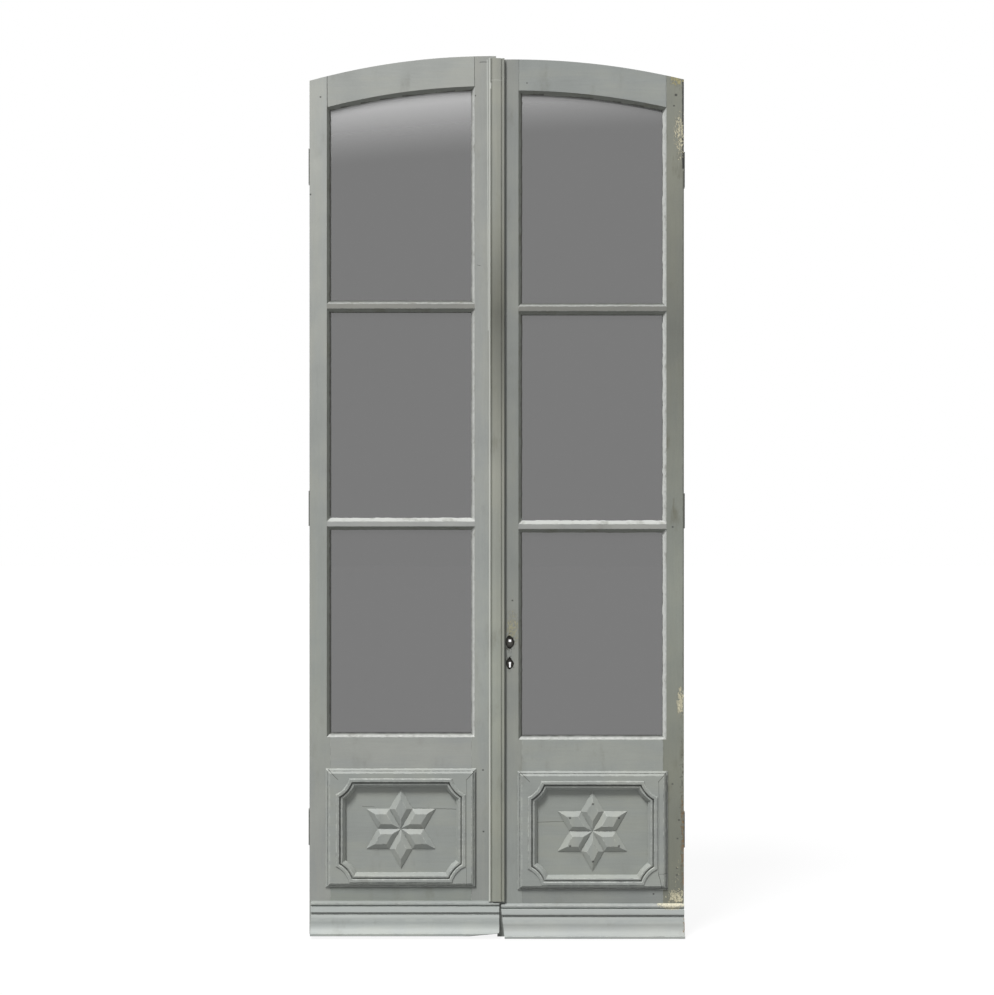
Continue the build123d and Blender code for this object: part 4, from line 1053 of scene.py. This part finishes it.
@dataclass
class Joinery(Trade):
    """The painted timber of both leaves.

    Attributes:
        fine: Rounding of the stars, mouldings and glazing bars.
        plain: Rounding of the other boards.
        chipped: Rounding of the left weatherboard, with the splinter off its foot.
    """

    fine: Softened = Softened(width=0.0006, crease=10.0)
    plain: Softened = Softened()
    chipped: Softened = Softened(chip=((458.0, 934.4), (500.0, 930.6)))

    def stiles(self) -> list[Paint]:
        """Paint of the upright boards and of the cover strip.

        Returns:
            One paint for each board.
        """
        return [
            upright_paint(
                "left_hinge_stile",
                ((0.3, 146, 149, 146), (0.8, 148, 152, 147), (1.6, 152, 155, 151), (2.55, 171, 174, 170)),
                marks=dots((310.5, 194.5), (320.5, 97.0)),
            ),
            upright_paint(
                "left_meeting_stile",
                ((0.3, 141, 144, 140), (0.8, 154, 158, 154), (1.5, 153, 156, 153), (2.55, 156, 158, 154)),
                marks=(
                    Mark((480.0, 62.3), (487.0, 62.0), 2.2, GAP_AND_SHADE, 0.8),
                    Mark((477.0, 265.0), (480.5, 265.6), 1.2),
                    # painted highlight on the lit side of the bead
                    Mark((487.2, 60.0), (488.4, 330.0), 3.2, PALE_PAINT_AND_HIGHLIGHT, 0.6, 0.5),
                    *dots((475.2, 95.6), (483.0, 770.0), (483.5, 831.5)),
                ),
            ),
            upright_paint(
                "right_meeting_stile",
                ((0.3, 144, 148, 144), (0.7, 138, 141, 136), (1.6, 134, 137, 133), (2.55, 141, 144, 141)),
                grime=0.7,
                flaking=(
                    Flaking((512.5, 628.0), (20.0, 42.0), OLIVE_FILLER, 0.6),
                    # painted shade: the two lock holes below are painted near black where they lie deep
                    Flaking((509.5, 643.0), (14.0, 24.0), GAP_AND_SHADE, 0.55, 260.0),
                    Flaking((509.5, 663.0), (13.0, 21.0), GAP_AND_SHADE, 0.5, 260.0),
                ),
                marks=(
                    # painted shadow of the cover strip along the stile's left edge
                    Mark((505.9, 62.0), (505.9, 903.0), 5.5, GAP_AND_SHADE, 0.5, 0.3),
                    *dots((512.4, 600.5)),
                ),
            ),
            upright_paint(
                "right_hinge_stile",
                ((0.25, 115, 117, 106), (1.05, 137, 141, 133), (1.9, 110, 112, 105), (2.5, 131, 133, 123)),
                grime=1.6,
                flaking=(
                    Flaking((677.0, 80.0), (18.0, 15.0), YELLOWED, 0.75),
                    Flaking((679.0, 86.0), (12.0, 20.0), RUST_STAIN, 0.1),
                    Flaking((680.0, 134.0), (15.0, 60.0), PALE_FILLER, 0.6),
                    Flaking((680.5, 702.0), (9.0, 40.0), PALE_FILLER, 0.8),
                    Flaking((683.0, 836.0), (6.5, 170.0), BROWN_WOOD, 0.5),
                    Flaking((682.0, 800.0), (7.0, 250.0), GAP_AND_SHADE, 0.2),
                    Flaking((677.5, 876.0), (16.0, 56.0), PALE_FILLER, 0.15),
                    Flaking((677.0, 897.0), (26.0, 20.0), PALE_FILLER, 0.75),
                ),
                marks=(
                    Mark((683.2, 78.0), (683.2, 168.0), 6.0, GAP_AND_SHADE, 1.0),
                    Mark((683.4, 172.0), (683.4, 690.0), 4.0, DARK_EDGE, 0.75),
                    Mark((673.6, 499.0), (673.6, 517.0), 5.0, OLIVE_DIRT, 0.4, 3.0),
                    *dots((676.0, 95.0), width=7.0, amount=1.0),
                    *dots((674.0, 105.8), (672.7, 527.0), (679.0, 820.0), (677.0, 868.0)),
                    *dots((672.5, 784.0), (677.5, 838.5), (677.0, 875.0), width=5.0, amount=0.7),
                ),
            ),
            upright_paint(
                "astragal",
                (
                    (0.3, 143, 146, 136),
                    (0.75, 150, 154, 145),
                    (1.45, 146, 148, 140),
                    (1.95, 103, 104, 95),
                    (2.3, 144, 146, 138),
                    (2.6, 152, 154, 146),
                ),
                grime=0.9,
                marks=(
                    # painted highlight on the left half of the strip's bead, which faces the light
                    Mark((489.6, 58.0), (489.6, 905.0), 4.5, PALE_PAINT_AND_HIGHLIGHT, 0.65, 0.3),
                    Mark((491.0, 81.0), (502.0, 81.0), 1.6, PALE_PAINT_AND_HIGHLIGHT, 0.45),
                    Mark((490.7, 84.0), (490.7, 89.0), 3.5, WHITE_DRIP, 0.85),
                    # painted shade in the quirk beside the strip's right bead
                    Mark((501.2, 60.0), (501.2, 905.0), 1.6, STRIP_LINE, 0.45, 0.5),
                ),
            ),
        ]

    def rails(self) -> list[Paint]:
        """Paint of the level boards, the glazing bars and the weatherboards.

        Returns:
            One paint for each board.
        """
        return [
            level_paint(
                "left_top_rail",
                (163, 166, 162),
                marks=(
                    Mark((327.2, 70.0), (327.2, 108.0), 2.6, GAP_AND_SHADE, 0.75),
                    Mark((474.5, 55.0), (474.5, 90.0), 2.0, SOOT_AND_SHADE, 0.7),
                ),
            ),
            level_paint(
                "right_top_rail",
                (148, 152, 149),
                marks=(
                    Mark((518.8, 58.0), (518.8, 94.0), 1.6, SOOT_AND_SHADE, 0.5),
                    Mark((666.2, 70.0), (666.2, 108.0), 1.6, SOOT_AND_SHADE, 0.5),
                    *dots((527.0, 83.0), width=3.5),
                ),
            ),
            level_paint("left_upper_bar", (134, 135, 131), thick=0.9),
            level_paint("left_lower_bar", (160, 162, 159), thick=0.9),
            level_paint("right_upper_bar", (123, 124, 120), thick=0.9),
            level_paint("right_lower_bar", (150, 152, 149), thick=0.9),
            level_paint("left_mid_rail", (150, 153, 150)),
            level_paint("right_mid_rail", (147, 151, 147)),
            level_paint("left_bottom_rail", (135, 140, 135)),
            level_paint("right_bottom_rail", (132, 136, 133), marks=dots((653.5, 894.0))),
            level_paint(
                "left_weatherboard",
                (160, 165, 162),
                thick=0.7,
                marks=(
                    # painted shade on the profile's upward slopes, painted light on the fillet that the
                    # top bead shades
                    Mark((300.0, 901.2), (503.0, 901.2), 6.0, SLOPE_SHADE, 0.7),
                    Mark((300.0, 908.5), (503.0, 908.5), 19.0, FILLET_LIGHT, 0.85),
                    Mark((300.0, 916.0), (503.0, 916.0), 18.0, SLOPE_SHADE, 0.75, 2.0),
                    Mark((462.0, 933.6), (499.0, 930.7), 2.2, SOOT_AND_SHADE, 0.7),
                ),
            ),
            level_paint(
                "right_weatherboard",
                (158, 162, 160),
                thick=0.7,
                flaking=(
                    Flaking((671.0, 903.5), (32.0, 13.0), LIGHT_FILLER, 1.2),
                    Flaking((684.0, 925.0), (5.0, 26.0), BROWN_WOOD, 0.6),
                ),
                marks=(
                    # painted shade on the profile's upward slopes, painted light on the fillet that the
                    # top bead shades
                    Mark((500.0, 902.7), (690.0, 902.7), 6.0, SLOPE_SHADE, 0.6),
                    Mark((500.0, 910.0), (690.0, 910.0), 19.0, FILLET_LIGHT, 0.75),
                    Mark((500.0, 917.5), (690.0, 917.5), 18.0, SLOPE_SHADE, 0.75, 2.0),
                ),
            ),
        ]

    def panels(self) -> list[Paint]:
        """Paint of the panels, their mouldings and stars.

        Returns:
            One paint for each piece.
        """
        return [
            level_paint(
                "left_panel",
                (146, 150, 146),
                marks=(
                    Mark((412.0, 808.6), (460.0, 809.6), 1.5, SOOT_AND_SHADE, 0.75),
                    Mark((362.0, 806.8), (374.0, 807.2), 1.3, SOOT_AND_SHADE, 0.6),
                ),
            ),
            level_paint(
                "right_panel",
                (143, 147, 142),
                marks=(Mark((538.0, 822.6), (566.0, 822.0), 1.5, SOOT_AND_SHADE, 0.75),),
            ),
            level_paint(
                "left_panel_moulding",
                (148, 152, 148),
                thick=0.9,
                marks=(
                    Mark((328.5, 769.0), (338.0, 779.0), 1.8, SOOT_AND_SHADE, 0.8),
                    Mark((476.0, 769.0), (466.4, 779.5), 1.8, SOOT_AND_SHADE, 0.8),
                    Mark((466.6, 779.5), (466.6, 885.0), 1.4, SOOT_AND_SHADE, 0.55),
                    # painted shade along the moulding's right and bottom outer edges, which face away from
                    # the light
                    Mark((475.6, 773.0), (475.6, 887.0), 5.0, GAP_AND_SHADE, 0.7),
                    Mark((329.0, 887.0), (477.0, 887.0), 3.6, GAP_AND_SHADE, 0.7),
                ),
            ),
            level_paint(
                "right_panel_moulding",
                (147, 151, 147),
                thick=0.9,
                marks=(
                    Mark((520.0, 771.5), (529.5, 781.5), 1.8, SOOT_AND_SHADE, 0.8),
                    Mark((666.5, 771.5), (658.0, 781.5), 1.8, SOOT_AND_SHADE, 0.8),
                    Mark((658.5, 781.5), (658.5, 872.0), 1.4, SOOT_AND_SHADE, 0.6),
                    Mark((658.0, 872.0), (661.5, 888.0), 1.8, GAP_AND_SHADE, 0.7, 2.0),
                    Mark((659.0, 873.4), (668.0, 873.0), 1.6, SOOT_AND_SHADE, 0.7, 2.0),
                    # painted shade along the moulding's right and bottom outer edges, which face away from
                    # the light
                    Mark((666.7, 776.0), (666.7, 889.0), 5.0, GAP_AND_SHADE, 0.7),
                    Mark((521.0, 888.6), (668.0, 888.6), 3.6, GAP_AND_SHADE, 0.7),
                ),
            ),
            upright_paint("left_star", ((0.0, 150, 154, 150),), thick=0.6),
            upright_paint(
                "right_star",
                ((0.0, 150, 154, 149),),
                thick=0.6,
                marks=dots(
                    *((593.0, y) for y in (804.0, 861.5)),
                    *((x, y) for x in (570.0, 619.0) for y in (818.0, 846.0)),
                    width=5.5,
                ),
            ),
        ]

    def build(self) -> None:
        """Softens and paints every board."""
        for paint in [*self.stiles(), *self.rails(), *self.panels()]:
            name = paint.name.removesuffix("_paint")
            small = name.endswith(("_star", "_moulding", "_bar"))
            softener = self.fine if small else self.plain
            if name == "left_weatherboard":
                softener = self.chipped
            piece = softener.make(self.nodes[name], f"{name}_wood")
            dress(piece, paint.material())
            LOG.info("painted %s", name)


@dataclass
class Glazing(Trade):
    """Panes and their putty."""

    def build(self) -> None:
        """Dresses the panes and makes the putty's ragged edge."""
        plain = PaneFinish("pane_glass").material()
        # the top panes carry a painted reflection under their arch
        reflecting_panes = {
            "left_top_pane": PaneFinish(
                "left_top_pane_glass", up(96), reflection_fall=0.17, reflection=0.63, lean=0.1
            ),
            "right_top_pane": PaneFinish(
                "right_top_pane_glass", up(97), reflection_fall=0.12, reflection=0.4, lean=0.05
            ),
        }
        for name, node in self.nodes.items():
            if name.endswith("_pane"):
                dress(node, reflecting_panes[name].material() if name in reflecting_panes else plain)
                LOG.info("glazed %s", name)
        finish = PuttyFinish("glazing_putty").material()
        for name in ("left_putty", "right_putty"):
            piece = RaggedPutty().make(self.nodes[name], f"{name}_ragged")
            dress(piece, finish)
            LOG.info("puttied %s", name)


@dataclass
class Ironwork(Trade):
    """Hinges, lock and bolts."""

    def build(self) -> None:
        """Dresses the metal pieces by their material slot."""
        finishes = {
            "hinge_iron": MetalFinish("hinge_iron", linear(122, 124, 119), metallic=0.3, roughness=0.5),
            "lock_steel": MetalFinish("lock_steel", linear(112, 110, 105)),
            "screw_steel": MetalFinish("screw_steel", linear(120, 116, 108)),
        }
        made = {slot: finish.material() for slot, finish in finishes.items()}
        for name, node in self.nodes.items():
            if self.slots[name] in made:
                dress(node, made[self.slots[name]])
                LOG.info("dressed %s", name)


@dataclass(frozen=True)
class Sun:
    """Even, soft light from one side.

    Attributes:
        name: Its name.
        towards: The way to the light.
        spread: Its width in degrees, as seen from the object.
        power: Its strength in watts to a square metre.
        distance: How far off its lamp stands, in metres.
    """

    name: str
    towards: Triple
    spread: float
    power: float
    distance: float = 6.0

    def build(self) -> None:
        """Adds the lamp."""
        towards = Vector(self.towards)
        data = bpy.data.lights.new(self.name, "SUN")
        data.angle = math.radians(self.spread)
        data.energy = self.power
        lamp = placed(self.name, data)
        lamp.location = towards * self.distance
        lamp.rotation_mode = "QUATERNION"
        lamp.rotation_quaternion = (-towards).to_track_quat("-Z", "Y")


@dataclass
class Studio:
    """Floor, lights, world and camera.

    Attributes:
        distance: Camera's distance in front of the leaves' middle plane.
        height: Camera's height.
        floor_size: Side of the floor.
        shown_white: Share of the floor that shows plain white; the rest shows light and shadow.
        floor_seen: The floor's own paleness to the camera, as a screen shows it.
        floor_lighting: Its paleness to the light that it throws back.
        sky: Brightness of the world as a light.
        key: The main light, from the upper left.
        back: The light behind the leaves.
    """

    distance: float = 5.62
    height: float = 1.3719
    floor_size: float = 60.0
    shown_white: float = 0.9
    floor_seen: float = 235.0
    floor_lighting: float = 150.0
    sky: float = 0.33
    key: Sun = Sun("key", (-0.27, -0.47, 0.84), spread=16.0, power=3.6)
    back: Sun = Sun("back", (0.45, 0.8, 0.4), spread=40.0, power=1.5)

    def floor(self) -> None:
        """Pale floor that keeps the shadow and meets a white world."""
        work = bmesh.new()
        bmesh.ops.create_grid(work, x_segments=1, y_segments=1, size=self.floor_size / 2)
        mesh = bpy.data.meshes.new("floor")
        work.to_mesh(mesh)
        work.free()
        floor = placed("floor", mesh)
        graph = Graph(bpy.data.materials.new("floor_paint"))
        seen = graph.seen()
        pale = graph.mix(seen, grey(self.floor_lighting), grey(self.floor_seen))
        matt = graph.node("ShaderNodeBsdfDiffuse", {}, {"Color": pale})
        glow = graph.node("ShaderNodeEmission", {}, {"Color": grey(255), "Strength": 1.0})
        white = seen * self.shown_white
        shown = graph.node("ShaderNodeMixShader", {}, {0: white, 1: matt, 2: glow})
        dress(floor, graph.end(shown))

    def world(self) -> None:
        """White background and a plain sky light."""
        graph = Graph(bpy.data.worlds.new("studio"), "ShaderNodeOutputWorld")
        strength = graph.seen() * (1 - self.sky) + self.sky
        white = graph.node("ShaderNodeBackground", {}, {"Color": grey(255), "Strength": strength})
        bpy.context.scene.world = graph.end(white)

    def camera(self) -> None:
        """Camera square to the leaves, framed as the photograph is."""
        data = bpy.data.cameras.new("camera")
        to_face = self.distance + FACE_Y
        long_side = max(PHOTO_WIDTH, PHOTO_HEIGHT) * METRES_PER_PIXEL
        data.lens = data.sensor_width * to_face / long_side
        camera = placed("camera", data)
        camera.location = (across(PHOTO_WIDTH / 2), -self.distance, self.height)
        camera.rotation_euler = (math.radians(90), 0, 0)
        bpy.context.scene.camera = camera

    def build(self) -> None:
        """Sets up everything round the object."""
        bpy.context.scene.view_settings.view_transform = "Standard"
        self.floor()
        self.world()
        self.key.build()
        self.back.build()
        self.camera()
        LOG.info("set up the studio")


def main() -> None:
    """Builds the door's looks and its studio."""
    logging.basicConfig(level=logging.INFO, format="%(message)s", stream=sys.stdout)
    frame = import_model()
    nodes = frame["nodes"]
    slots = {part["node"]: part["material_slot"] for part in frame["record"]["subparts"]}
    Joinery(nodes, slots).build()
    Glazing(nodes, slots).build()
    Ironwork(nodes, slots).build()
    Studio().build()


if __name__ == "__main__":
    main()
